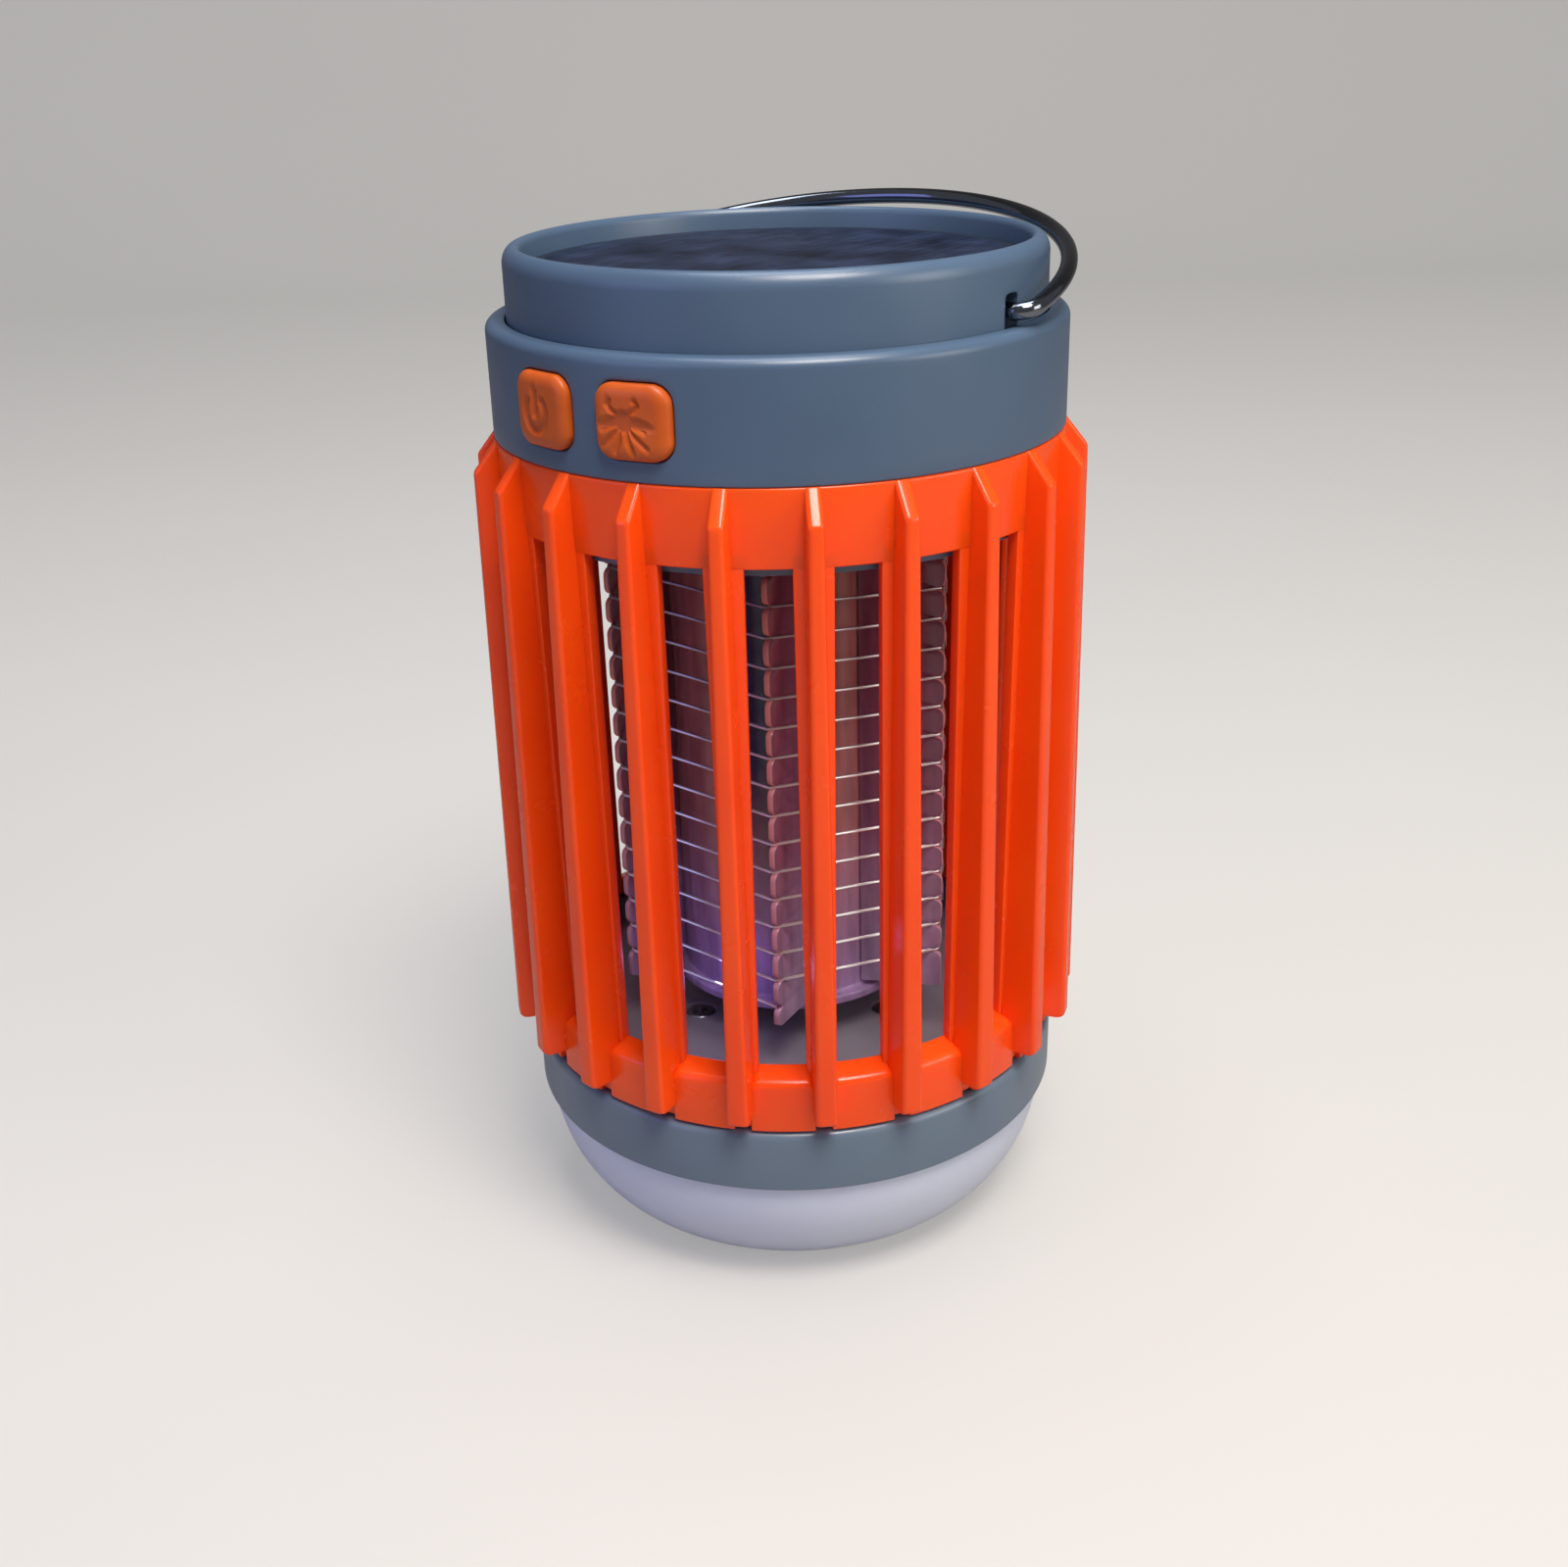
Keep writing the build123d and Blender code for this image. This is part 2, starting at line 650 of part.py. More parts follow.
# ---- collar, panel ------------------------------------------------------------------------
def make_collar():
    inner = collar_radius - collar_wall
    pocket = panel_radius + 0.1
    body = turned([
        (inner, collar_bottom), (collar_radius, collar_bottom), (collar_radius, collar_crest),
        (lip_inner_radius, collar_crest), (pocket, panel_face), (pocket, ledge_top),
        (panel_radius - ledge_width, ledge_top), (panel_radius - ledge_width, ledge_top - ledge_thickness),
        (inner, ledge_top - ledge_thickness),
    ])
    body = round_edge(body, collar_radius, collar_crest, collar_lip)
    body = round_edge(body, lip_inner_radius, collar_crest, lip_inner_edge)
    pieces = []
    web_height = ledge_top - collar_bottom
    web_reach = inner + 0.5 - post_circle
    for p in post_places(collar_bottom):
        pieces.append(p * post(post_radius, 0, web_height))
        pieces.append(p * block((post_web, web_reach, web_height), (0, -web_reach / 2, web_height / 2)))
    body = body.fuse(*pieces)
    slot_reach = collar_radius - panel_radius + ledge_width + 1
    cuts = [p * post(screw_hole, -1, rim_screw_length - (collar_bottom - post_seat) + 0.5)
            for p in post_places(collar_bottom)]
    for turn in (90, -90):
        leg = block((slot_width, 2 * slot_reach, pivot_z - collar_bottom + 1),
                    (0, -collar_radius, (pivot_z + collar_bottom - 1) / 2))
        eye = rod(slot_width, -collar_radius - slot_reach, -collar_radius + slot_reach, 0, pivot_z)
        cuts.append(Rot(0, 0, turn) * (leg + eye))
    return body.cut(*cuts)


def make_rim_screws():
    return Compound([p * Rot(180, 0, 0) * screw(rim_screw_length) for p in post_places(post_seat)])


def make_cells():
    """Strips of dark cell, side by side and clipped to the round panel."""
    reach = panel_radius - cell_margin
    width = (2 * reach - (cell_count - 1) * cell_gap) / cell_count
    disc = post(reach, board_base + backing_thickness, cell_base)
    strips = []
    for k in range(cell_count):
        x = -reach + width / 2 + k * (width + cell_gap)
        strips.append(disc & block((width, 2 * reach, 4), (x, 0, cell_base)))
    return strips


# ---- bail ---------------------------------------------------------------------------------
def make_bail():
    """Bent wire: two pins along X, tight bends, then half an ellipse between them."""
    inner = cradle_inner - pin_head_gap
    turn = bail_half_span - bail_bend
    path = Line((inner, 0), (turn, 0))
    path += CenterArc((turn, bail_bend), bail_bend, 270, 90)
    path += EllipticalCenterArc((0, bail_bend), bail_half_span, bail_depth - bail_bend, 0, arc_size=180)
    path += CenterArc((-turn, bail_bend), bail_bend, 180, 90)
    path += Line((-turn, 0), (-inner, 0))
    start = Plane((inner, 0, 0), x_dir=(0, 1, 0), z_dir=(1, 0, 0))
    body = sweep(start * Circle(wire_radius), path=Wire(path.edges()))
    for side in (-1, 1):
        centre = side * (inner - pin_head_length / 2)
        body += Pos(centre, 0, 0) * Rot(0, 90, 0) * Cylinder(pin_head_diameter / 2, pin_head_length)
    return Pos(0, 0, pivot_z) * Rot(bail_rest_angle, 0, 0) * body


# ---- buttons and switches -----------------------------------------------------------------
def make_button(x):
    """Silicone key: a proud cap, a lip behind the wall and a nub for the switch."""
    face = cage_top_radius + button_proud
    cap = slab(button_width, button_height, button_corner, -face - 1, -band_inner + 6, x, button_z)
    cap &= post(face, band_bottom, band_top)
    front = cap.edges().filter_by(lambda e: abs(sqrt((e @ 0.5).X ** 2 + (e @ 0.5).Y ** 2) - face) < 0.02)
    cap = fillet(front, button_edge)
    lip_outer = band_inner - 2 * slide_gap
    lip = slab(button_width + 2 * button_lip, button_height + 2 * button_lip, button_corner + button_lip,
               -band_inner, -band_inner + 8, x, button_z)
    lip &= ring(lip_outer, lip_outer - button_lip_thickness, band_bottom, band_top)
    nub = rod(nub_diameter, -lip_outer + 1.5, stem_face_y, x, button_z)
    cap -= post(lip_outer - button_lip_thickness, band_bottom, band_top)
    return joined([cap, lip, nub])


def make_stem(x):
    return rod(stem_diameter, stem_face_y, stem_face_y + stem_proud + 1.2, x, button_z)


def make_switches():
    bodies = []
    for x in (-button_offset, button_offset):
        y = control_board_y - switch_depth / 2
        body = block((switch_size, switch_depth, switch_size), (x, y, button_z))
        bore = rod(stem_diameter + 2 * running_gap, control_board_y - switch_depth - 1,
                   control_board_y - 1.0, x, button_z)
        bodies.append(body - bore)
    return Compound(bodies)


# ---- boards, battery, charging port -------------------------------------------------------
def make_control_board():
    centre = (0, control_board_y + board_thickness / 2, control_board_bottom + control_board_height / 2)
    return block((control_board_width, board_thickness, control_board_height), centre)


def on_board_back(size, x):
    """A component standing on the control board's back face."""
    z = control_board_bottom + control_board_height / 2
    return block(size, (x, board_back_y + size[1] / 2, z))


def make_battery():
    body = Pos(0, cell_centre_y, cell_centre_z) * Rot(0, 90, 0) * Cylinder(cell_diameter / 2, cell_length)
    return fillet(body.edges().filter_by(GeomType.CIRCLE), cell_edge)


def make_holder():
    """Saddles for the cell on a thin base."""
    base = block((cell_length * 0.8, holder_depth, holder_base), (0, cell_centre_y, deck + holder_base / 2))
    trough = Rot(0, 90, 0) * Cylinder(cell_diameter / 2 + saddle_gap, cell_length)
    trough = Pos(0, cell_centre_y, cell_centre_z) * trough
    saddles = []
    for side in (-1, 1):
        centre = (side * saddle_spacing / 2, cell_centre_y, deck + saddle_height / 2)
        saddles.append(block((saddle_width, holder_depth, saddle_height), centre) - trough)
    return joined([base] + saddles)


def make_charge_board():
    return block(charge_board_size, (0, charge_board_y, charge_board_bottom + charge_board_size[2] / 2))


def make_usb_socket():
    """Sheet-metal shell, open to the back of the lantern."""
    mouth = charge_board_y + charge_board_size[1] / 2
    y = mouth - socket_size[1] / 2
    shell = block(socket_size, (0, y, port_z))
    room = (socket_size[0] - 2 * socket_wall, socket_size[1], socket_size[2] - 2 * socket_wall)
    return shell - block(room, (0, y + 0.6, port_z))


def make_usb_plug():
    """Silicone cover: a flange flush in its pocket and a hollow stopper."""
    outer = cage_top_radius
    width, height = port_width + 2 * plug_flange, port_height + 2 * plug_flange
    gap = 2 * slide_gap
    corner = port_corner + plug_flange - slide_gap
    flange = slab(width - gap, height - gap, corner, band_inner - 4, outer + 2, 0, port_z)
    flange &= ring(outer, outer - plug_flange_thickness + 0.1, band_bottom, band_top)
    stop = slab(port_width - gap, port_height - gap, port_corner - slide_gap,
                outer - plug_depth, outer - plug_flange_thickness / 2, 0, port_z)
    hollow = gap + 2 * plug_wall
    core = slab(port_width - hollow, port_height - hollow, 0.3, outer - plug_depth - 1,
                outer - plug_flange_thickness, 0, port_z)
    return flange + stop - core


# ---- grid former, wires, UV light ----------------------------------------------------------
def notch_heights():
    """Heights of the wire notches, the same on every rib bar the helix's rise."""
    base = cage_bottom + lowest_notch
    return [base + notch_pitch * k for k in range(notch_count)]


def rib_angle(index):
    """The ribs are counted the way the wires climb."""
    return rib_phase - 360 / rib_count * index


def rib_rise(index):
    """Rise of the two wires from rib to rib."""
    return 2 * notch_pitch * index / rib_count


def make_rib(index):
    """Clear plate with rounded tabs between its wire notches, standing out along +X."""
    outer, inner = rib_radius, rib_radius - notch_depth
    rise = rib_rise(index) % notch_pitch
    half, mouth = notch_width / 2, notch_mouth / 2
    root = tube_radius - 1
    outline = [(root, former_bottom + rib_toe), (outer - 1.0, former_bottom)]
    outline.append((outer, former_bottom + 0.6))
    for z in notch_heights():
        z += rise
        outline += [(outer, z - mouth), (inner, z - half), (inner, z + half), (outer, z + mouth)]
    top = band_bottom - former_flange_thickness
    outline += [(outer, top), (root, top)]
    face = Plane.XZ * make_face(Polyline(*outline, close=True))
    return extrude(face, rib_thickness / 2, both=True) - post(tube_radius, disc_top, band_bottom)


def make_ribs():
    return Compound([Rot(0, 0, rib_angle(k) - 90) * make_rib(k) for k in range(rib_count)])


def make_former():
    """Flange and tube, closed below by a disc with a hole."""
    body = post(former_flange_radius, band_bottom - former_flange_thickness, band_bottom)
    body += post(tube_radius, disc_top, band_bottom)
    body += post(foot_disc_radius, disc_top - foot_disc_thickness, disc_top)
    cuts = [post(tube_radius - tube_wall, disc_top, band_bottom - former_flange_thickness)]
    cuts.append(post(cable_tube_diameter / 2 + fit_gap, disc_top - 5, band_bottom + 1))
    seat = band_bottom - cable_flange_height - 0.4
    cuts.append(post(cable_flange_radius + fit_gap, seat, band_bottom + 1))
    seat = band_bottom - former_flange_thickness
    cuts += [p * post(screw_hole, seat - 1, band_bottom + 1) for p in former_screw_places()]
    cuts += [Pos(p.X, p.Y, 0) * post(terminal_diameter / 2 + running_gap, seat - 1, band_bottom + 1)
             for p in terminal_points()]
    return body.cut(*cuts)


def make_former_screws():
    z = band_bottom - former_flange_thickness
    return Compound([p * Rot(180, 0, 0) * screw(former_screw_length) for p in former_screw_places(z)])


def wire_corner(step, start):
    """Corner of a wire at one rib: the notch's place on the helix."""
    bend_room = rib_thickness / 2 * tan(pi / rib_count) + running_gap
    radius = rib_radius - notch_depth + grid_wire_diameter / 2 + bend_room
    angle = radians(rib_angle(step))
    z = cage_bottom + lowest_notch + start + 2 * notch_pitch * step / rib_count
    return Vector(radius * sin(angle), -radius * cos(angle), z)


def wire_starts():
    """Start height above the lowest notch and first rib of the live and the return wire."""
    return [(0, 0), (notch_pitch, -rib_count // 2)]


def wire_ends(start, first):
    """Last corner of a wire and the unit direction in which it leaves for its terminal."""
    last = first + rib_count * turn_count
    corner = wire_corner(last, start)
    return corner, (wire_corner(last + 1, start) - corner).normalized()


def terminal_points():
    points = []
    for start, first in wire_starts():
        corner, way = wire_ends(start, first)
        points.append(corner + way * (terminal_reach + terminal_diameter / 2))
    return points


def make_grid_wire(start, first):
    """Tight wire wound over the ribs: straight runs mitred at each rib."""
    corners = [wire_corner(k, start) for k in range(first, first + rib_count * turn_count + 1)]
    corner, way = wire_ends(start, first)
    corners.append(corner + way * terminal_reach)
    path = Polyline(*[tuple(c) for c in corners])
    run = (corners[1] - corners[0]).normalized()
    face = Plane(origin=corners[0], z_dir=run) * RegularPolygon(grid_wire_diameter / 2, 6)
    return sweep(face, path=path, transition=Transition.RIGHT)


def make_terminals():
    pins = []
    for p in terminal_points():
        pins.append(Pos(p.X, p.Y, 0) * post(terminal_diameter / 2, p.Z - 1.2, deck + 1.5))
    return Compound(pins)


def make_uv_board():
    return ring(uv_board_radius, cable_tube_diameter / 2 + fit_gap, disc_top, disc_top + uv_board_thickness)


def make_uv_leds():
    """Round-topped LEDs standing on their board."""
    base = disc_top + uv_board_thickness
    led = post(uv_led_diameter / 2, base, base + uv_led_height)
    led = fillet(led.edges().group_by(Axis.Z)[-1], uv_led_diameter * 0.4)
    return Compound([put(uv_led_circle, a) * led for a in angles(uv_led_count, uv_led_phase)])


def make_cable_tube():
    outer = cable_tube_diameter / 2
    tube = ring(outer, outer - cable_tube_wall, tray_under, deck)
    return tube + ring(cable_flange_radius, outer - 0.2, band_bottom - cable_flange_height, band_bottom)


def make_leads():
    return Compound([Pos(x, 0, 0) * post(lead_diameter / 2, lamp_top + 0.3, deck - 0.2)
                     for x in (-lead_spacing / 2, lead_spacing / 2)])


# ---- write the nodes -----------------------------------------------------------------------
def save_base():
    save("diffuser", make_diffuser())
    save("base_ring", make_base_ring())
    save("lamp_board", make_lamp_board())
    save("lamp_leds", make_lamp_leds())
    save("reflector", make_reflector())
    save("tray_screws", make_tray_screws())


def save_cage():
    cage = make_cage()
    save("cage_top_ring", slice_between(cage, window_top, cage_top + 1))
    save("cage_bars", slice_between(cage, sill, window_top))
    save("cage_foot_ring", slice_between(cage, cage_bottom - 1, sill))
    save("cage_screws", make_cage_screws())


def save_head():
    save("band", make_band())
    save("band_skirt", make_skirt())
    save("deck_fittings", make_deck_fittings())
    save("collar", make_collar())
    save("collar_screws", make_rim_screws())
    save("panel_seal", ring(panel_radius, panel_radius - ledge_width + 0.2, ledge_top, board_base))
    save("panel_board", post(panel_radius, board_base, board_base + backing_thickness))
    cells = make_cells()
    save("solar_cells", Compound(cells))
    save("panel_cover", post(panel_radius, board_base + backing_thickness, panel_face).cut(*cells))
    save("bail", make_bail())


def save_controls():
    save("light_button", make_button(-button_offset))
    save("zapper_button", make_button(button_offset))
    save("light_stem", make_stem(-button_offset))
    save("zapper_stem", make_stem(button_offset))
    save("switch_bodies", make_switches())
    save("control_board", make_control_board())
    save("hv_transformer", on_board_back(transformer_size, -control_board_width * 0.27))
    save("hv_capacitor", on_board_back(capacitor_size, control_board_width * 0.2))
    save("control_chip", on_board_back(chip_size, 0))
    save("battery_cell", make_battery())
    save("battery_holder", make_holder())
    save("charge_board", make_charge_board())
    save("usb_socket", make_usb_socket())
    save("usb_plug", make_usb_plug())


def save_grid():
    save("grid_former", make_former())
    save("grid_ribs", make_ribs())
    save("former_screws", make_former_screws())
    for name, (start, first) in zip(("grid_wire_live", "grid_wire_return"), wire_starts()):
        save(name, make_grid_wire(start, first))
    save("grid_terminals", make_terminals())
    save("uv_board", make_uv_board())
    save("uv_leds", make_uv_leds())
    save("cable_tube", make_cable_tube())
    save("lamp_leads", make_leads())


for step in (save_base, save_cage, save_head, save_controls, save_grid):
    step()
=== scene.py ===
import math
import bmesh
import bpy
import numpy as np
from mathutils import Matrix, Vector

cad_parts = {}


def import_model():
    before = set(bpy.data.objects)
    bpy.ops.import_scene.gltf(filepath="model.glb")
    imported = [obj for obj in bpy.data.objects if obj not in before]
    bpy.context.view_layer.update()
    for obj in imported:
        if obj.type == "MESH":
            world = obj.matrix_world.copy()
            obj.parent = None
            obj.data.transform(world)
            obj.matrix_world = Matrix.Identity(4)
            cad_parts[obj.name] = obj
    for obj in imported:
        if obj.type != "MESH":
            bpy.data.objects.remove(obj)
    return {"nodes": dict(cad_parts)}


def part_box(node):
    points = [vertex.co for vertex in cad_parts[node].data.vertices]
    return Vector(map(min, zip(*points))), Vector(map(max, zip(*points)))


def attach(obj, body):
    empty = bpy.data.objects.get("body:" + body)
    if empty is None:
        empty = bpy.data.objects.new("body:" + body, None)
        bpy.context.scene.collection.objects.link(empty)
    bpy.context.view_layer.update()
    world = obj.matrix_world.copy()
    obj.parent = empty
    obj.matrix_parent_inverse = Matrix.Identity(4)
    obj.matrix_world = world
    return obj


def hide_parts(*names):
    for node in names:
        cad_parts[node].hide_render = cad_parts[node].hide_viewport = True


# Solar bug-zapper lantern. Shapes are worked out in millimetres and written to meshes in metres.
# Angles go round Z from -Y, the side with the buttons, towards +X.

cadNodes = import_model()["nodes"]
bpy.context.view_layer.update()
print("frame loaded:", len(cadNodes), "nodes")


def boxOf(node):  # lowest and highest corner of a CAD node in millimetres
    low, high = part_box(node)
    return np.array(low) * 1000, np.array(high) * 1000


# ---------- shapes ----------

def rounded(corners, radii, steps=7):
    # closed outline: each corner becomes an arc that starts and ends radius / tan(half angle) from it
    p = np.array(corners, float)
    r = np.broadcast_to(np.array(radii, float), len(p))[:, None]
    before, after = np.roll(p, 1, 0) - p, np.roll(p, -1, 0) - p
    lengthBefore = np.linalg.norm(before, axis=1, keepdims=True)
    lengthAfter = np.linalg.norm(after, axis=1, keepdims=True)
    u, v = before / lengthBefore, after / lengthAfter
    half = np.arccos(np.clip((u * v).sum(1, keepdims=True), -0.99999, 0.99999)) / 2
    back = np.minimum(r / np.tan(half), 0.49 * np.minimum(lengthBefore, lengthAfter))
    radius = back * np.tan(half)
    middle = (u + v) / np.linalg.norm(u + v, axis=1, keepdims=True)
    centre = p + middle * radius / np.sin(half)
    start, end = p + u * back - centre, p + v * back - centre
    first = np.arctan2(start[:, 1], start[:, 0])[:, None]
    turn = np.arctan2(end[:, 1], end[:, 0])[:, None] - first
    turn = (turn + np.pi) % (2 * np.pi) - np.pi
    angle = first + turn * np.linspace(0, 1, steps)
    arc = centre[:, None] + radius[:, None] * np.stack([np.cos(angle), np.sin(angle)], -1)
    return arc.reshape(-1, 2)


def gridFaces(rows, columns, closedRows=True, closedColumns=True):
    # one quad between each grid point and its neighbours; a closed direction wraps round
    i, j = np.meshgrid(np.arange(rows if closedRows else rows - 1),
                       np.arange(columns if closedColumns else columns - 1), indexing="ij")
    nextI, nextJ = (i + 1) % rows, (j + 1) % columns
    return np.stack([i * columns + j, i * columns + nextJ, nextI * columns + nextJ, nextI * columns + j], -1)


def surface(points, closedRows=True, closedColumns=True):
    # a grid of points and its quads
    rows, columns = points.shape[:2]
    return points.reshape(-1, 3), gridFaces(rows, columns, closedRows, closedColumns).reshape(-1, 4)


def turnPoints(points, degrees):
    # points turned about Z
    c, s = math.cos(math.radians(degrees)), math.sin(math.radians(degrees))
    return points @ np.array([[c, s, 0], [-s, c, 0], [0, 0, 1]])


def ringPoints(profile, angles):
    # revolution: x = r sin(angle), y = -r cos(angle), z as in the profile
    a = np.radians(angles)[None, :]
    r, z = profile[:, 0, None], profile[:, 1, None]
    return np.stack([r * np.sin(a), -r * np.cos(a), z + 0 * a], -1)


def turned(profile, count=192):
    return surface(ringPoints(profile, np.arange(count) * 360 / count))


def lofted(sections):
    # closed sections one after another, each end closed by a fan to its middle
    ends = sections[[0, -1]].mean(1, keepdims=True).repeat(sections.shape[1], 1)
    return surface(np.concatenate([ends[:1], sections, ends[1:]]), closedRows=False)


def roundArray(part, count, phase=0.0):
    # the same part repeated round the axis
    points, faces = part
    angles = np.radians(phase + np.arange(count) * 360 / count)
    c, s = np.cos(angles)[:, None], np.sin(angles)[:, None]
    x, y = points[:, 0], points[:, 1]
    copies = np.stack([x * c - y * s, x * s + y * c, points[:, 2] + 0 * c], -1)
    shifted = faces[None] + (np.arange(count) * len(points))[:, None, None]
    return copies.reshape(-1, 3), shifted.reshape(-1, 4)


def tube(path, radius, sides=12, up=(0, 0, 1)):
    # circle carried along a path: point + radius (cos side + sin other), side square to the path and to up
    way = np.gradient(path, axis=0)
    way /= np.linalg.norm(way, axis=1, keepdims=True)
    side = np.cross(way, np.array(up, float))
    side /= np.linalg.norm(side, axis=1, keepdims=True)
    other = np.cross(way, side)
    a = np.arange(sides) * 2 * np.pi / sides
    ring = side[:, None] * np.cos(a)[:, None] + other[:, None] * np.sin(a)[:, None]
    r = np.broadcast_to(np.array(radius, float), len(path))[:, None, None]
    return lofted(path[:, None] + r * ring)


def outlineReach(way, halfWidth, halfHeight, corner):
    # distance from the centre to a rounded rectangle along each unit direction, found by halving
    low = np.zeros(len(way))
    high = np.full(len(way), halfWidth + halfHeight)
    straight = np.array([halfWidth - corner, halfHeight - corner])
    for step in range(36):
        middle = (low + high) / 2
        past = np.abs(way * middle[:, None]) - straight
        outside = np.hypot(*np.maximum(past, 0).T) + np.minimum(past.max(1), 0) > corner
        low, high = np.where(outside, low, middle), np.where(outside, middle, high)
    return low[:, None]


def columnsFor(frames, step=1.5):
    # columns round the axis: even ones outside the frames and each frame's own inside
    angles = np.arange(-135, 225, step)
    for inside in frames:
        angles = angles[(angles < inside[0] - step / 3) | (angles > inside[-1] + step / 3)]
        angles = np.sort(np.concatenate([angles, inside]))
    return angles


def pocketed(profile, pockets, first, count, wall=True):
    # revolution with pockets: grid squares inside a pocket's frame give way to rings that shrink to its
    # outline, roll over its edge, drop to its depth and close. Across and along are x and z on a wall,
    # x and y on a floor. The frames lie among count rows of the profile from the first one on
    angles = columnsFor([p["columns"] for p in pockets])
    points = ringPoints(profile, angles)
    faces = gridFaces(*points.shape[:2])
    level = profile[first:first + count, 1 if wall else 0]
    parts = []
    for p in pockets:
        rowA, rowB = sorted(first + np.abs(level - row).argmin() for row in p["rows"])
        colA, colB = (np.abs(angles - column).argmin() for column in (p["columns"][0], p["columns"][-1]))
        faces[rowA:rowB, colA:colB] = -1
        loop = np.concatenate([points[rowA, colA:colB], points[rowA:rowB, colB],
                               points[rowB, colB:colA:-1], points[rowB:rowA:-1, colA]])
        local = turnPoints(loop, -p["turn"])
        flat = local[:, [0, 2]] if wall else local[:, [0, 1]]
        centre = np.array(p["centre"])
        way = flat - centre
        way /= np.linalg.norm(way, axis=1, keepdims=True)
        edge, depth = p["edge"], p["depth"]
        roll = np.radians(np.linspace(0, 90, 5))
        grow = np.concatenate([edge * (1 - np.sin(roll)), [0.0]])
        drop = np.concatenate([edge * (1 - np.cos(roll)), [depth]])
        rings = np.stack([centre + way * outlineReach(way, p["half"][0] + g, p["half"][1] + g, p["corner"] + g)
                          for g in grow])
        middle = (flat + rings[0]) / 2
        rings = np.concatenate([flat[None], middle[None], rings, np.broadcast_to(centre, flat.shape)[None]])
        sunk = np.concatenate([[0, 0], drop, [depth]])[:, None]
        if wall:
            out = np.sqrt(p["radius"] ** 2 - rings[:, :, 0] ** 2) - sunk
            patch = np.stack([rings[:, :, 0], -out, rings[:, :, 1]], -1)
        else:
            patch = np.stack([rings[:, :, 0], rings[:, :, 1], local[0, 2] - sunk + 0 * rings[:, :, 0]], -1)
        parts.append(surface(turnPoints(patch, p["turn"]), closedRows=False))
    faces = faces.reshape(-1, 4)
    return [(points.reshape(-1, 3), faces[faces[:, 0] >= 0])] + parts


# ---------- pieces ----------

def placed(name, data):
    # a new object in the scene
    thing = bpy.data.objects.new(name, data)
    bpy.context.scene.collection.objects.link(thing)
    return thing


def makePiece(name, parts, body, material, sharp=32.0, stands=()):
    # joins the parts, closes their seams and poles, turns the faces outwards and shades by angle
    counts = np.cumsum([0] + [len(p) for p, f in parts[:-1]])
    points = np.concatenate([p for p, f in parts]) / 1000
    faces = np.concatenate([f + n for (p, f), n in zip(parts, counts)])
    mesh = bpy.data.meshes.new(name)
    mesh.from_pydata(points.tolist(), [], faces.tolist())
    work = bmesh.new()
    work.from_mesh(mesh)
    bmesh.ops.remove_doubles(work, verts=work.verts, dist=2e-6)
    bmesh.ops.dissolve_degenerate(work, edges=work.edges, dist=1e-7)
    bmesh.ops.recalc_face_normals(work, faces=work.faces)
    work.to_mesh(mesh)
    work.free()
    mesh.shade_smooth()
    mesh.set_sharp_from_angle(angle=math.radians(sharp))
    mesh.materials.append(material)
    piece = placed(name, mesh)
    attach(piece, body)
    if stands:
        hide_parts(*stands)
    print("piece", name, len(mesh.polygons), "faces")
    return piece


# ---------- materials ----------

def srgb(text):
    # sRGB hex to linear colour
    value = np.array([int(text[i:i + 2], 16) for i in (1, 3, 5)]) / 255
    linear = np.where(value <= 0.04045, value / 12.92, ((value + 0.055) / 1.055) ** 2.4)
    return (*linear.tolist(), 1.0)


def addNode(material, kind, inputs=None, links=None, **settings):
    # one node, its socket values, its settings and what feeds it
    node = material.node_tree.nodes.new("ShaderNode" + kind)
    for key, value in settings.items():
        setattr(node, key, value)
    for key, value in (inputs or {}).items():
        node.inputs[key].default_value = value
    for key, source in (links or {}).items():
        material.node_tree.links.new(source, node.inputs[key])
    return node


def startMaterial(name):
    material = bpy.data.materials.new(name)
    material.use_nodes = True
    material.node_tree.nodes.clear()
    place = addNode(material, "TexCoord").outputs["Object"]
    return material, place


def endMaterial(material, shader):
    addNode(material, "OutputMaterial", links={"Surface": shader.outputs[0]})
    return material


satin = {"driftMm": 30, "grainMm": 0.35, "grain": 0.4, "rough": (0.3, 0.36), "ior": 1.53, "specular": 0.5,
         "glow": 0.0, "glowRadius": (1, 1, 1)}


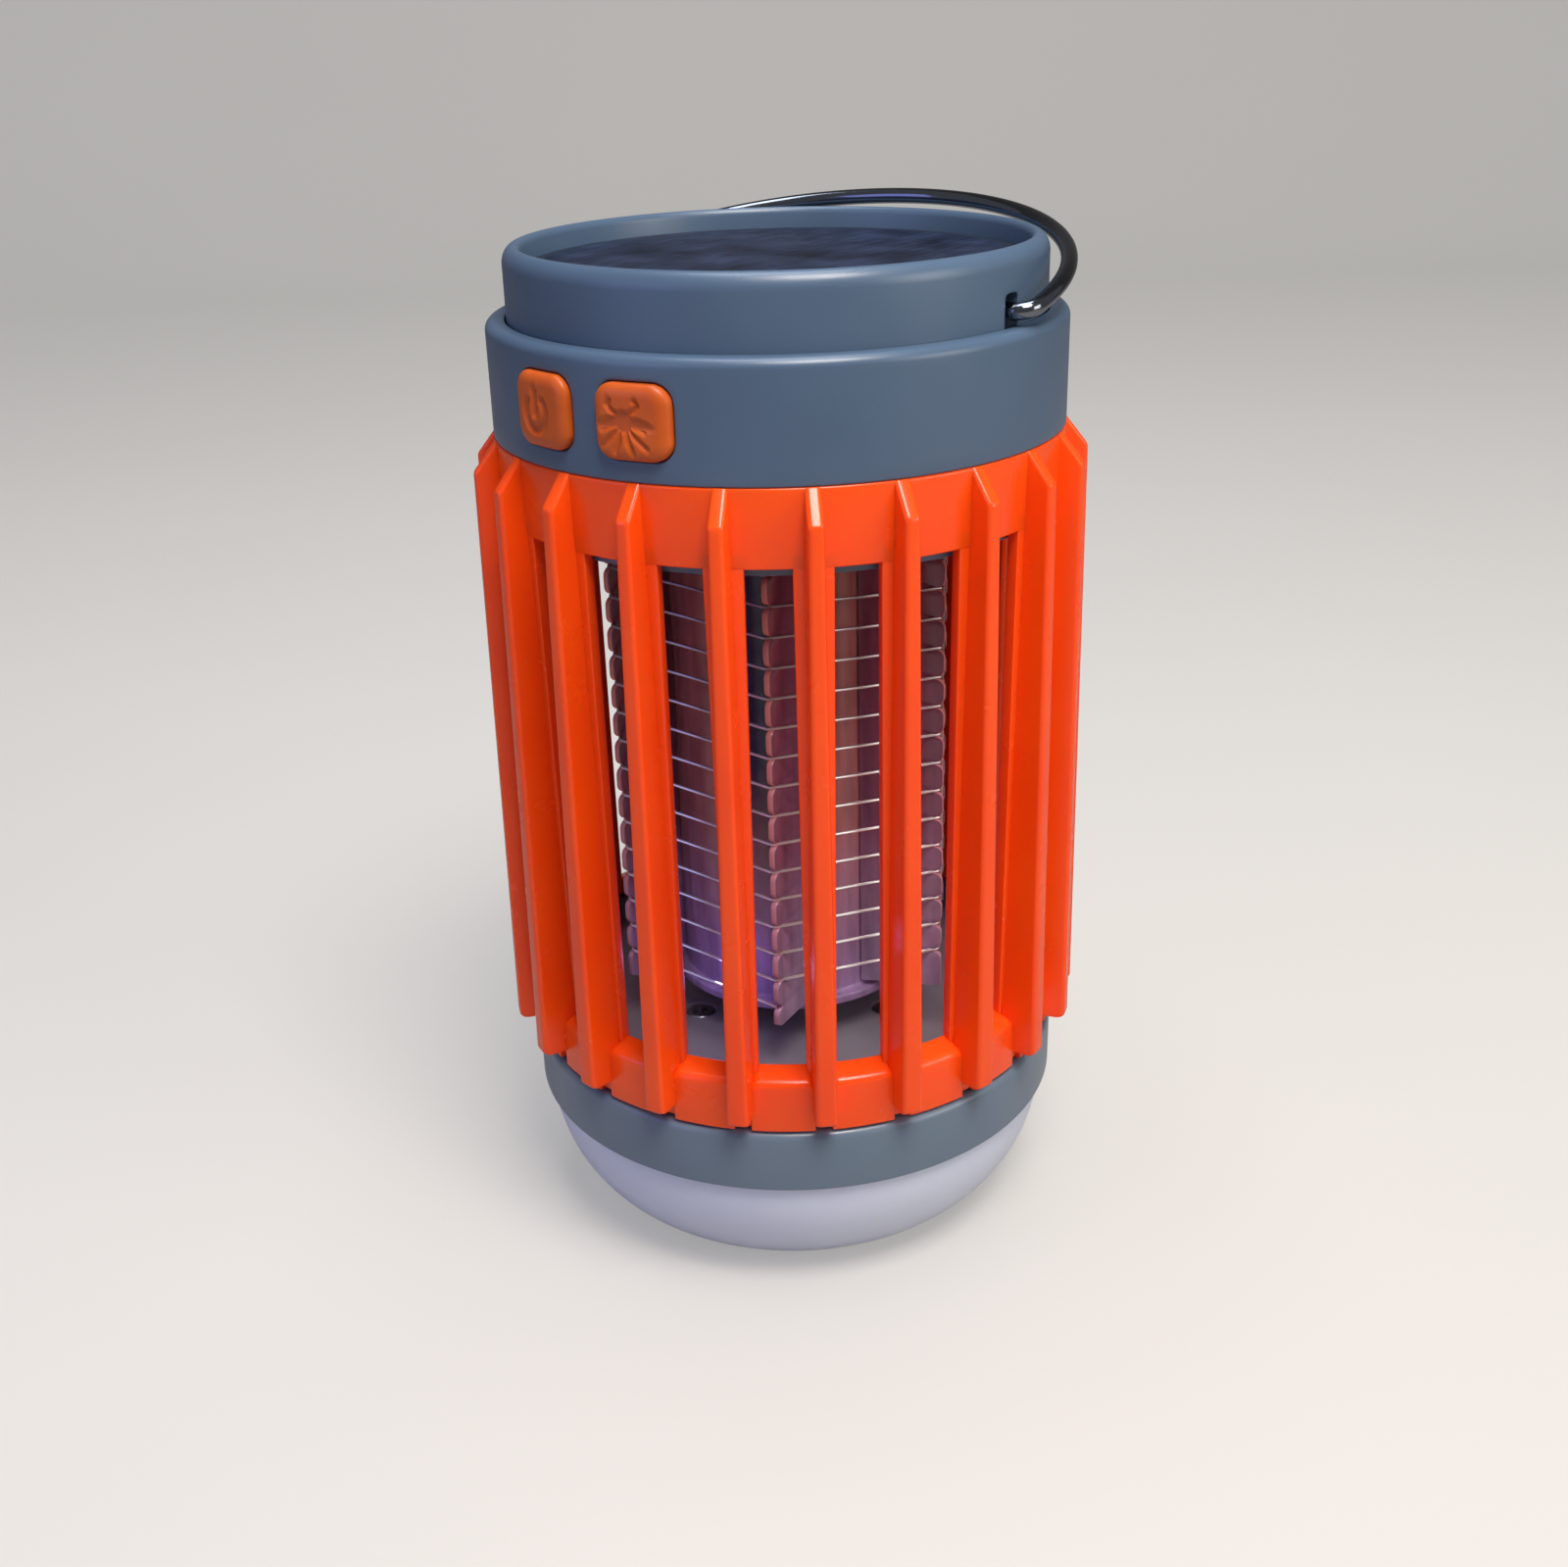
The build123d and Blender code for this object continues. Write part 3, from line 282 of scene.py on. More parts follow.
def mouldedPlastic(name, dark, light, **own):
    # moulded thermoplastic: an even colour that drifts slightly, a fine spark-eroded grain, soft gloss
    finish = {**satin, **own}
    m, place = startMaterial(name)
    drift = addNode(m, "TexNoise", {"Scale": 1 / (finish["driftMm"] * 0.001), "Detail": 2.0}, {"Vector": place})
    colour = addNode(m, "ValToRGB", links={"Fac": drift.outputs["Fac"]})
    colour.color_ramp.elements[0].position, colour.color_ramp.elements[1].position = 0.3, 0.7
    colour.color_ramp.elements[0].color, colour.color_ramp.elements[1].color = srgb(dark), srgb(light)
    tint = colour.outputs["Color"]
    if "haze" in finish:
        # painted light: a paler colour over what lies inside a radius, lifting the floor that lies in shade
        flat = addNode(m, "VectorMath", {1: (1, 1, 0)}, {0: place}, operation="MULTIPLY")
        radius = addNode(m, "VectorMath", {}, {0: flat.outputs["Vector"]}, operation="LENGTH")
        edge = finish["haze"]["radiusMm"] * 0.001
        inside = addNode(m, "MapRange", {"From Min": edge + 0.0003, "From Max": edge - 0.0003},
                         {"Value": radius.outputs["Value"]})
        paintedLightFilm = addNode(m, "Mix", {7: srgb(finish["haze"]["colour"])}, {0: inside.outputs["Result"], 6: tint},
                       data_type="RGBA")
        tint = paintedLightFilm.outputs[2]
    grain = addNode(m, "TexNoise", {"Scale": 1 / (finish["grainMm"] * 0.001), "Detail": 1.0}, {"Vector": place})
    smear = addNode(m, "TexNoise", {"Scale": 1 / 0.006, "Detail": 3.0}, {"Vector": place})
    rough = addNode(m, "MapRange", {"From Min": 0.3, "From Max": 0.7, "To Min": finish["rough"][0],
                                    "To Max": finish["rough"][1]}, {"Value": smear.outputs["Fac"]})
    bump = addNode(m, "Bump", {"Strength": finish["grain"], "Distance": 0.00002}, {"Height": grain.outputs["Fac"]})
    shader = addNode(m, "BsdfPrincipled", {"IOR": finish["ior"], "Specular IOR Level": finish["specular"],
                                           "Subsurface Weight": finish["glow"],
                                           "Subsurface Radius": finish["glowRadius"], "Subsurface Scale": 0.001},
                     {"Base Color": tint, "Roughness": rough.outputs["Result"],
                      "Normal": bump.outputs["Normal"]})
    return endMaterial(m, shader)


def metal(name, colour, roughLow, roughHigh):
    # drawn or plated metal: fine streaks in its roughness
    m, place = startMaterial(name)
    streak = addNode(m, "TexNoise", {"Scale": 1 / 0.0009, "Detail": 3.0}, {"Vector": place})
    rough = addNode(m, "MapRange", {"From Min": 0.3, "From Max": 0.7, "To Min": roughLow, "To Max": roughHigh},
                    {"Value": streak.outputs["Fac"]})
    shader = addNode(m, "BsdfPrincipled", {"Base Color": srgb(colour), "Metallic": 1.0},
                     {"Roughness": rough.outputs["Result"]})
    return endMaterial(m, shader)


# ABS from a spark-eroded tool: even slate with a broad satin sheen
slateAbs = mouldedPlastic("slateSatinAbs", "#485c74", "#4e637b")
# the same, paler; its floor inside the ring is painted paler still, painted light on the tray floor that lies in the
# cage's shade
slateBase = mouldedPlastic("slateSatinAbsBase", "#5f7083", "#667788", rough=(0.28, 0.36),
                           haze={"radiusMm": 40.3, "colour": "#8b8794"})
# tinted ABS from a polished tool: saturated, tight highlights, light bleeding through its edges
orangeAbs = mouldedPlastic("vermilionGlossAbs", "#f84a0a", "#ff540e", driftMm=26, grainMm=0.8, grain=0.12,
                          rough=(0.22, 0.28), ior=1.54, specular=0.4, glow=0.25, glowRadius=(2.2, 0.5, 0.12))
# moulded silicone: duller than the plastics round it, colour glowing in its thin parts
silicone = mouldedPlastic("burntOrangeSilicone", "#be5218", "#ca5c1d", driftMm=5, grainMm=0.3, grain=0.3,
                          rough=(0.34, 0.44), ior=1.43, specular=0.45, glow=0.12, glowRadius=(1.2, 0.45, 0.12))
greySilicone = mouldedPlastic("slateSilicone", "#454f5c", "#4d5866", driftMm=5, grainMm=0.3, grain=0.6,
                              rough=(0.5, 0.6), ior=1.43, glow=0.05)
# opal polycarbonate: milky, faintly violet, without hard shading
opalPc = mouldedPlastic("opalPolycarbonate", "#d2dafe", "#d8e0ff", grainMm=0.4, grain=0.2, rough=(0.3, 0.38),
                        ior=1.58, specular=0.4, glow=0.6, glowRadius=(5.0, 4.8, 5.6))
# plated wire mirrors its surroundings in streaks; zinc and brass are duller
chrome = metal("platedSteelWire", "#7d818a", 0.08, 0.16)
screwSteel = metal("zincPlatedSteel", "#a7a9ad", 0.28, 0.42)
brass = metal("plainBrass", "#c8a35a", 0.25, 0.4)


def clearPlastic(name, paintedLightTones, alpha, rough, paintedDarkBand=None, paintedTabGlow=None):
    # clear styrene moulding inside an orange cage, its colour painted by height: a painted brown-red reflection of
    # the cage high up and painted violet lamp glow low down, clouded by upright streaks, with moulding flow lines
    # across its gloss
    low, middle, high = paintedLightTones
    m, place = startMaterial(name)
    parts = addNode(m, "SeparateXYZ", links={"Vector": place})
    height = addNode(m, "MapRange", {"From Min": 0.044, "From Max": 0.13}, {"Value": parts.outputs["Z"]})
    # painted light: colour by height stands for reflected orange high up and violet lamp glow low down
    paintedLightByHeight = addNode(m, "ValToRGB", links={"Fac": height.outputs["Result"]})
    stops = paintedLightByHeight.color_ramp.elements
    stops[0].color, stops[1].color = srgb(low), srgb(high)
    stops.new(0.35).color = srgb(middle)
    upright = addNode(m, "Mapping", {"Scale": (420, 420, 70)}, {"Vector": place})
    streak = addNode(m, "TexNoise", {"Scale": 1.0, "Detail": 2.0}, {"Vector": upright.outputs["Vector"]})
    depth = addNode(m, "MapRange", {"From Min": 0.35, "From Max": 0.65, "To Min": 0.8, "To Max": 1.12},
                    {"Value": streak.outputs["Fac"]})
    clouded = addNode(m, "VectorMath", {}, {0: paintedLightByHeight.outputs["Color"], "Scale": depth.outputs["Result"]},
                      operation="SCALE")
    shade = clouded.outputs[0]
    if paintedDarkBand:
        # painted dark band: the dark surroundings seen through and mirrored in the clear wall, painted on between
        # two angles and fading towards the foot
        past = addNode(m, "Math", {1: -1.0}, {0: parts.outputs["Y"]}, operation="MULTIPLY")
        angle = addNode(m, "Math", {}, {0: parts.outputs["X"], 1: past.outputs[0]}, operation="ARCTAN2")
        step = addNode(m, "Math", {1: 6 / (2 * math.pi), 2: 1 - paintedDarkBand["phase"] / 60}, {0: angle.outputs[0]},
                       operation="MULTIPLY_ADD")
        band = addNode(m, "ValToRGB", links={"Fac": step.outputs[0]})
        while len(band.color_ramp.elements) < 4:
            band.color_ramp.elements.new(0.5)
        for stop, at, level in zip(band.color_ramp.elements, paintedDarkBand["stops"], (0, 1, 1, 0)):
            stop.position, stop.color = at, (level, level, level, 1)
        fade = addNode(m, "MapRange", {"From Min": 0.062, "From Max": 0.085, "To Max": paintedDarkBand["depth"]},
                       {"Value": parts.outputs["Z"]})
        amount = addNode(m, "Math", {}, {0: band.outputs["Color"], 1: fade.outputs["Result"]},
                         operation="MULTIPLY")
        dark = addNode(m, "Mix", {7: srgb(paintedDarkBand["colour"])}, {0: amount.outputs[0], 6: shade},
                       data_type="RGBA")
        shade = dark.outputs[2]
    # flow lines 2.8 mm apart, coarser than the real ones so that they show
    lines = addNode(m, "TexWave", {"Scale": math.pi / 10 / 0.002762, "Distortion": 0.6, "Detail": 1.0},
                    {"Vector": place}, wave_type="BANDS", bands_direction="Z")
    bump = addNode(m, "Bump", {"Strength": 0.35, "Distance": 0.00003}, {"Height": lines.outputs["Fac"]})
    shader = addNode(m, "BsdfPrincipled", {"Roughness": rough, "IOR": 1.59, "Alpha": alpha},
                     {"Normal": bump.outputs["Normal"]})
    if paintedTabGlow:
        # the cut edge of each tab is less clear and painted paler, a painted glow of light piped out of the plastic,
        # orange high up and lilac low down
        rim = addNode(m, "Attribute", attribute_name="tabEdge")
        edge = addNode(m, "Mix", {6: srgb(paintedTabGlow[0]), 7: srgb(paintedTabGlow[1])}, {0: height.outputs["Result"]},
                       data_type="RGBA")
        paintedEdgeGlow = addNode(m, "Mix", {}, {0: rim.outputs["Fac"], 6: shade, 7: edge.outputs[2]}, data_type="RGBA")
        shade = paintedEdgeGlow.outputs[2]
        cover = addNode(m, "MapRange", {"To Min": alpha, "To Max": 0.96}, {"Value": rim.outputs["Fac"]})
        m.node_tree.links.new(cover.outputs["Result"], shader.inputs["Alpha"])
    m.node_tree.links.new(shade, shader.inputs["Base Color"])
    return endMaterial(m, shader)


def solarPanelFinish(name, cellRadius):
    # dark silicon strips under clear epoxy: fine slanting polish marks, bumped and painted lighter as a painted
    # sheen, a paler margin and a dull haze
    m, place = startMaterial(name)
    slant = addNode(m, "Mapping", {"Rotation": (0, 0, math.radians(52)), "Scale": (1 / 0.00055, 1 / 0.009, 1)},
                    {"Vector": place})
    polishMarksAndSheen = addNode(m, "TexNoise", {"Scale": 1.0, "Detail": 3.0}, {"Vector": slant.outputs["Vector"]})
    blotch = addNode(m, "TexNoise", {"Scale": 1 / 0.010, "Detail": 3.0}, {"Vector": place})
    blend = addNode(m, "Math", {}, {0: polishMarksAndSheen.outputs["Fac"], 1: blotch.outputs["Fac"]}, operation="MULTIPLY")
    cells = addNode(m, "ValToRGB", links={"Fac": blend.outputs[0]})
    cells.color_ramp.elements[0].position, cells.color_ramp.elements[1].position = 0.14, 0.42
    cells.color_ramp.elements[0].color, cells.color_ramp.elements[1].color = srgb("#0c1222"), srgb("#303a54")
    flat = addNode(m, "VectorMath", {1: (1, 1, 0)}, {0: place}, operation="MULTIPLY")
    length = addNode(m, "VectorMath", {}, {0: flat.outputs[0]}, operation="LENGTH")
    margin = addNode(m, "MapRange", {"From Min": cellRadius / 1000 - 0.0001, "From Max": cellRadius / 1000 + 0.0001},
                     {"Value": length.outputs["Value"]})
    shade = addNode(m, "Mix", {7: srgb("#242b38")}, {0: margin.outputs["Result"], 6: cells.outputs["Color"]},
                    data_type="RGBA")
    bump = addNode(m, "Bump", {"Strength": 0.3, "Distance": 0.00002}, {"Height": polishMarksAndSheen.outputs["Fac"]})
    shader = addNode(m, "BsdfPrincipled", {"Roughness": 0.4, "IOR": 1.5, "Specular IOR Level": 0.12},
                     {"Base Color": shade.outputs[2], "Normal": bump.outputs["Normal"]})
    return endMaterial(m, shader)


# ---------- lamp end: dome and base ring ----------

dome = {"wall": 2.0, "flat": 26.0, "spigotInset": 2.5, "spigotWall": 1.8}
low, high = boxOf("diffuser")
ringLow, ringHigh = boxOf("base_ring")
domeRadius = high[0]
ringBottom, ringRadius = ringLow[2], ringHigh[0]


def domeProfile(inset, steps=40):
    # quarter ellipse from the flat foot out to the rim
    t = np.linspace(0, np.pi / 2, steps)
    bulge = domeRadius - dome["flat"]
    return np.stack([dome["flat"] + (bulge - inset) * np.sin(t), ringBottom - (ringBottom - inset) * np.cos(t)], -1)


spigotOut = ringRadius - dome["spigotInset"]
spigotIn = spigotOut - dome["spigotWall"]
spigot = [[spigotOut, ringBottom], [spigotOut, high[2]], [spigotIn, high[2]], [spigotIn, ringBottom]]
profile = np.concatenate([[[0, 0]], domeProfile(0), spigot, domeProfile(dome["wall"])[::-1], [[0, dome["wall"]]]])
makePiece("opal_dome", [turned(profile, 256)], "base", opalPc, stands=("diffuser",))

base = {"top": 33.3, "shoulder": 2.0, "lowerEdge": 0.35, "wall": 2.2, "floor": 35.0, "under": 33.0, "hole": 4.3,
        "spigot": 42.5, "spigotWall": 1.8, "screwCircle": 18.7, "screwPhase": -24.0, "frame": 3.6}
screwRecess = {"half": (2.6, 2.6), "corner": 2.6, "edge": 0.25, "depth": 1.6, "centre": (0, -base["screwCircle"]),
               "rows": (base["screwCircle"] + base["frame"], base["screwCircle"] - base["frame"])}
trayRadius = base["spigot"] - base["spigotWall"]
shell = rounded([(ringRadius - base["wall"], ringBottom), (ringRadius, ringBottom), (ringRadius, base["top"]),
                 (base["spigot"], base["top"]), (base["spigot"], ringHigh[2]), (trayRadius, ringHigh[2]),
                 (trayRadius, base["floor"]), (base["hole"], base["floor"]), (base["hole"], base["under"]),
                 (ringRadius - base["wall"], base["under"])],
                [0.2, base["lowerEdge"], base["shoulder"], 0.1, 0.3, 0.3, 0.8, 0.2, 0.2, 0.2])
# rows of the floor follow the outline's first seven corners of seven points each
floorRadii = np.array([34, 28, 24, 22.3, 20.5, 18.7, 16.9, 15.1, 12, 8])
floorStart = 7 * 7
floorRows = np.stack([floorRadii, np.full(len(floorRadii), base["floor"])], -1)
profile = np.concatenate([shell[:floorStart], floorRows, shell[floorStart:]])
spread = math.degrees(base["frame"] / base["screwCircle"])
turns = [(base["screwPhase"] + 120 * k + 135) % 360 - 135 for k in range(3)]
recesses = [{**screwRecess, "turn": turn, "columns": np.linspace(turn - spread, turn + spread, 9)}
            for turn in turns]
makePiece("base_ring_and_tray", pocketed(profile, recesses, floorStart, len(floorRadii), wall=False), "base",
          slateBase, stands=("base_ring",))

# ---------- cage: fins, strips, top ring and pillowed foot ring ----------

cage = {"count": 22, "phase": 9.7, "wall": 2.0, "topRadius": 44.5, "sillRadius": 43.0, "footRadius": 45.1,
        "footInner": 42.8, "innerSill": 41.0, "finTop": 48.2, "finBottom": 49.0, "topThick": 2.3, "lowThick": 3.4,
        "finLow": 36.6, "chamfer": 4.7, "finCorner": 1.3, "finEdge": 0.7, "windowTop": 6.7, "windowLow": 7.5,
        "stripEdge": 0.3, "stripEnds": (3, 2), "toe": 0.8, "pillowCorner": 1.3, "groove": -0.35, "drawIn": 0.2,
        "sillDrop": 1.6}
topLow, topHigh = boxOf("cage_top_ring")
footLow, footHigh = boxOf("cage_foot_ring")
windowTop, cageTop = topLow[2], topHigh[2]
cageLow, sill = footLow[2], footHigh[2]
halfStep = 180 / cage["count"]


def cageWall(z):  # outer radius of the slightly conical wall
    return cage["topRadius"] - (cageTop - z) * (cage["topRadius"] - cage["sillRadius"]) / (cageTop - sill)


def stripSection(z, window):
    # four corners on two radii, each half a window away from the next window's middle plane
    outer = cageWall(z)
    inner = outer - cage["wall"]
    r = np.array([inner, outer, outer, inner])
    side = np.array([-1, -1, 1, 1])
    angle = side * (math.radians(halfStep) - np.arcsin(window / 2 / r))
    flat = rounded(np.stack([r * np.sin(angle), r * np.cos(angle)], -1), cage["stripEdge"], 4)
    return np.stack([flat[:, 0], -flat[:, 1], np.full(len(flat), z)], -1)


def makeStrip():
    # its ends run on into the foot and the top ring
    zs = (sill - cage["stripEnds"][0], windowTop + cage["stripEnds"][1])
    widths = np.interp(zs, (sill, windowTop), (cage["windowLow"], cage["windowTop"]))
    return lofted(np.stack([stripSection(z, w) for z, w in zip(zs, widths)]))


def makeFinShape():
    # outer edge in the radial plane with its corners rounded, carried across the tapering thickness
    edge = rounded([(cage["footInner"], cage["finLow"]), (cage["finBottom"], cage["finLow"]),
                    (cage["finTop"], cageTop - cage["chamfer"]), (cage["topRadius"] + 0.05, cageTop - 0.05),
                    (cage["footInner"], cageTop - 0.05)], [0, cage["toe"], cage["finCorner"], 0.3, 0], 7)
    rows = []
    # the toe, the shoulder and the tip, seven points each
    for r, z in edge[7:28]:
        thick = np.interp(z, (cage["finLow"], cageTop), (cage["lowThick"], cage["topThick"])) / 2
        inner = cage["footInner"] + 0.2
        box = rounded([(-thick, inner), (-thick, r), (thick, r), (thick, inner)],
                      [0, cage["finEdge"], cage["finEdge"], 0], 6)
        rows.append(np.stack([box[:, 0], -box[:, 1], np.full(len(box), z)], -1))
    return lofted(np.stack(rows))


def makePillow():
    # foot segment between two fins: the profile runs up the wall, over the rolled edge and back to the
    # sill; towards each end its top sinks on an arc and its face draws in
    foot = rounded([(cage["footInner"], cageLow), (cage["footRadius"], cageLow),
                    (cage["footRadius"], sill - cage["sillDrop"]), (cage["innerSill"], sill),
                    (cage["innerSill"], sill - 2.0), (cage["footInner"], sill - 3.8)], [0, 0.3, 1.4, 0.5, 0, 0], 8)
    halfWidth = cage["footRadius"] * math.radians(halfStep) - cage["lowThick"] / 2 - cage["groove"]
    x = np.sin(np.linspace(-np.pi / 2, np.pi / 2, 41)) * halfWidth

    def fall(radius):
        # how far an end rounded by this radius falls away
        past = np.maximum(np.abs(x) - (halfWidth - radius), 0)
        return (radius - np.sqrt(np.maximum(radius ** 2 - past ** 2, 0)))[:, None]

    r, z = foot[None, :, 0], foot[None, :, 1]
    top = np.clip((z - (cageLow + 2)) / (sill - 2.5 - cageLow - 2), 0, 1)
    z = z - fall(cage["pillowCorner"]) * top
    r = np.where(r > cage["footInner"] + 1, r - fall(cage["drawIn"]), r)
    angle = (x / cage["footRadius"])[:, None]
    return lofted(np.stack([r * np.sin(angle), -r * np.cos(angle), z], -1))


# the top ring, and a core that ties the foot's pillows together from inside
topRing = rounded([(cageWall(windowTop) - cage["wall"], windowTop), (cageWall(windowTop), windowTop),
                   (cage["topRadius"], cageTop), (cage["topRadius"] - cage["wall"], cageTop)],
                  [0.2, 0.3, 0.45, 0.2])
footCore = rounded([(cage["footInner"] + 0.1, cageLow + 0.3), (cage["footRadius"] - 0.9, cageLow + 0.3),
                    (cage["footRadius"] - 0.9, sill - 2.6), (cage["innerSill"] + 0.3, sill - 0.6),
                    (cage["innerSill"] + 0.3, sill - 2.0), (cage["footInner"] + 0.1, sill - 3.8)], 0.2)
cageParts = [turned(topRing, 264), turned(footCore, 264), roundArray(makeStrip(), cage["count"], cage["phase"]),
             roundArray(makeFinShape(), cage["count"], cage["phase"]),
             roundArray(makePillow(), cage["count"], cage["phase"] + halfStep)]
makePiece("finned_cage", cageParts, "lantern", orangeAbs,
          stands=("cage_top_ring", "cage_bars", "cage_foot_ring"))

# ---------- head: band, collar, panel ----------

head = {"shoulder": 1.9, "deck": 138.5, "skirtWall": 1.6, "gap": 0.25, "crest": 164.1, "lipMiddle": 39.3,
        "lipDrop": 2.6, "lipInside": 0.9, "insideDrop": 1.3, "pocket": 38.1, "ledge": 159.0, "ledgeThick": 1.6,
        "ledgeInner": 36, "keyOffset": 8.2, "keyZ": 144.75, "portZ": 144.5}
# openings: half sizes, corner, edge and depth, then the frame each one is cut in: its lowest and highest
# row, half its width and its count of columns
keyRecess = {"half": (5.8, 5.4), "corner": 2.9, "edge": 0.35, "depth": 2.0, "rows": (138.9, 151.3),
             "frame": 7.1, "count": 17}
portRecess = {"half": (7.4, 4.6), "corner": 2.9, "edge": 0.25, "depth": 1.6, "rows": (138.9, 150.3),
              "frame": 9, "count": 19}
bailSlot = {"half": (1.75, 2.75), "corner": 0.9, "edge": 0.2, "depth": 5.0, "rows": (152.3, 159.2),
            "frame": 2.6, "count": 9, "middle": 155.45}
bandHigh = boxOf("band")[1]
skirtLow = boxOf("band_skirt")[0]
collarLow, collarHigh = boxOf("collar")
panelLow, panelHigh = boxOf("panel_cover")
bandRadius, bandTop, bandBottom = bandHigh[0], bandHigh[2], cageTop
collarRadius = collarHigh[0]
skirtRadius = cageWall(skirtLow[2]) - cage["wall"] - 0.3


def wallRows(radius, rows):
    # points of a profile straight up a wall
    return np.stack([np.full(len(rows), radius), rows], -1)


def wallPocket(shape, turn, centre, radius):
    # a pocket in an upright wall, with columns evenly spaced across its frame
    x = np.linspace(centre[0] - shape["frame"], centre[0] + shape["frame"], shape["count"])
    return {**shape, "turn": turn, "centre": centre, "radius": radius,
            "columns": turn + np.degrees(np.arcsin(x / radius))}


def makeBand():
    lower = rounded([(skirtRadius - head["skirtWall"], skirtLow[2]), (skirtRadius, skirtLow[2]),
                     (skirtRadius, bandBottom), (bandRadius, bandBottom), (bandRadius, bandBottom + 5)],
                    [0.2, 0.2, 0.1, 0.35, 0], 6)[:24]
    inner = collarRadius + head["gap"]
    upper = rounded([(bandRadius, bandTop - 5), (bandRadius, bandTop), (inner, bandTop),
                     (inner, head["deck"]), (0, head["deck"])], [0, head["shoulder"], 0.3, 0.2, 0], 8)[8:32]
    rows = np.array([138.4, 138.9, 140.0, 141.5, 143, 144.5, 146, 147.5, 149.2, 150.3, 151.3])
    closing = [[0, head["deck"]], [0, bandBottom], [skirtRadius - head["skirtWall"], bandBottom]]
    profile = np.concatenate([lower, wallRows(bandRadius, rows), upper, closing])
    pockets = [wallPocket(keyRecess, 0, (side * head["keyOffset"], head["keyZ"]), bandRadius) for side in (-1, 1)]
    pockets.append(wallPocket(portRecess, 180, (0, head["portZ"]), bandRadius))
    return pocketed(profile, pockets, len(lower), len(rows))


makePiece("head_band", makeBand(), "lantern", slateAbs, stands=("band", "band_skirt"))


def makeCollar():
    lower = rounded([(collarRadius - 2, collarLow[2]), (collarRadius, collarLow[2]),
                     (collarRadius, collarLow[2] + 3)], [0.2, 0.15, 0], 6)[:12]
    # lip: a quarter of an ellipse up the outside to the crest and a smaller one down the inside
    a, b = np.radians(np.linspace(0, 90, 14)), np.radians(np.linspace(0, 90, 9))[1:]
    outer = np.stack([head["lipMiddle"] + (collarRadius - head["lipMiddle"]) * np.cos(a),
                      head["crest"] - head["lipDrop"] * (1 - np.sin(a))], -1)
    inner = np.stack([head["lipMiddle"] - head["lipInside"] * np.sin(b),
                      head["crest"] - head["insideDrop"] * (1 - np.cos(b))], -1)
    ledge, under = head["ledge"], head["ledge"] - head["ledgeThick"]
    rows = np.array([152.3, 153.5, 155, 156.5, 157.5, 158.6, 159.2])
    profile = np.concatenate([lower, wallRows(collarRadius, rows), outer, inner,
                              [(head["pocket"], panelHigh[2]), (head["pocket"], ledge), (head["ledgeInner"], ledge),
                               (head["ledgeInner"], ledge), (head["ledgeInner"], under), (collarRadius - 2, under)]])
    pockets = [wallPocket(bailSlot, turn, (0, bailSlot["middle"]), collarRadius) for turn in (-90, 90)]
    return pocketed(profile, pockets, len(lower), len(rows))


makePiece("collar_with_lip", makeCollar(), "lantern", slateAbs, stands=("collar",))

cellRadius = boxOf("solar_cells")[1][0]
panelFinish = solarPanelFinish("epoxyOverSilicon", cellRadius)
# a flat face whose edge rolls over into the pocket
face = panelHigh[2]
profile = np.array([(0, face), (30, face), (37.2, face - 0.02), (37.75, face - 0.12), (38, face - 0.4),
                    (38, panelLow[2]), (0, panelLow[2])])
makePiece("solar_panel_face", [turned(profile, 192)], "lantern", panelFinish,
          stands=("panel_cover", "solar_cells"))

# ---------- bail ----------

bail = {"wire": 1.25, "halfSpan": 43.8, "depth": 43.0, "bend": 2.6, "rest": 13.5, "pivot": 155.7, "inner": 36.5}
lift = math.radians(bail["rest"])


def bailPath():
    # in its own plane: a pin, a quarter bend, half an ellipse, the other bend and pin
    turn = bail["halfSpan"] - bail["bend"]
    a = np.linspace(-np.pi / 2, 0, 14)[:-1]
    firstBend = np.stack([turn + bail["bend"] * np.cos(a), bail["bend"] + bail["bend"] * np.sin(a)], -1)
    b = np.linspace(0, np.pi, 120)
    bow = np.stack([bail["halfSpan"] * np.cos(b), bail["bend"] + (bail["depth"] - bail["bend"]) * np.sin(b)], -1)
    secondBend = (firstBend * [-1, 1])[::-1]
    pin = np.array([[bail["inner"], 0], [40, 0]])
    flat = np.concatenate([pin, firstBend, bow, secondBend, (pin * [-1, 1])[::-1]])
    return np.stack([flat[:, 0], flat[:, 1] * math.cos(lift), bail["pivot"] + flat[:, 1] * math.sin(lift)], -1)


bailPart = tube(bailPath(), bail["wire"], 20, up=(0, -math.sin(lift), math.cos(lift)))
makePiece("wire_bail", [bailPart], "bail", chrome, stands=("bail",))

# ---------- buttons and port cover ----------

keys = {"half": (5.62, 5.25), "corner": 2.8, "edge": 1.7, "drop": 1.05, "proud": 1.4, "depth": 3.2, "sink": 0.46,
        "stroke": 0.55, "soft": 0.8, "signAt": (-0.8, -0.2)}
portCover = {"half": (7.2, 4.4), "corner": 2.7, "edge": 0.3, "drop": 0.3, "proud": 0.0, "depth": 1.3}


def distanceToLine(p, start, end):
    # distance to a straight stroke
    a, b = np.array(start, float), np.array(end, float)
    t = np.clip(((p - a) @ (b - a)) / ((b - a) @ (b - a)), 0, 1)
    return np.linalg.norm(p - a - t[..., None] * (b - a), axis=-1)


def powerSign(p):
    # broken ring and a bar from its middle up through the gap
    ring = np.abs(np.linalg.norm(p * [1.05, 0.92], axis=-1) - 2.35)
    gap = np.degrees(np.abs(np.arctan2(p[..., 0] * 1.05, p[..., 1] * 0.92))) < 48
    ends = [np.linalg.norm(p - [side * 1.66, 1.71], axis=-1) for side in (-1, 1)]
    ring = np.where(gap, np.minimum(*ends), ring)
    return np.minimum(ring, distanceToLine(p, (0, -0.3), (0, 3.0))) - keys["stroke"]


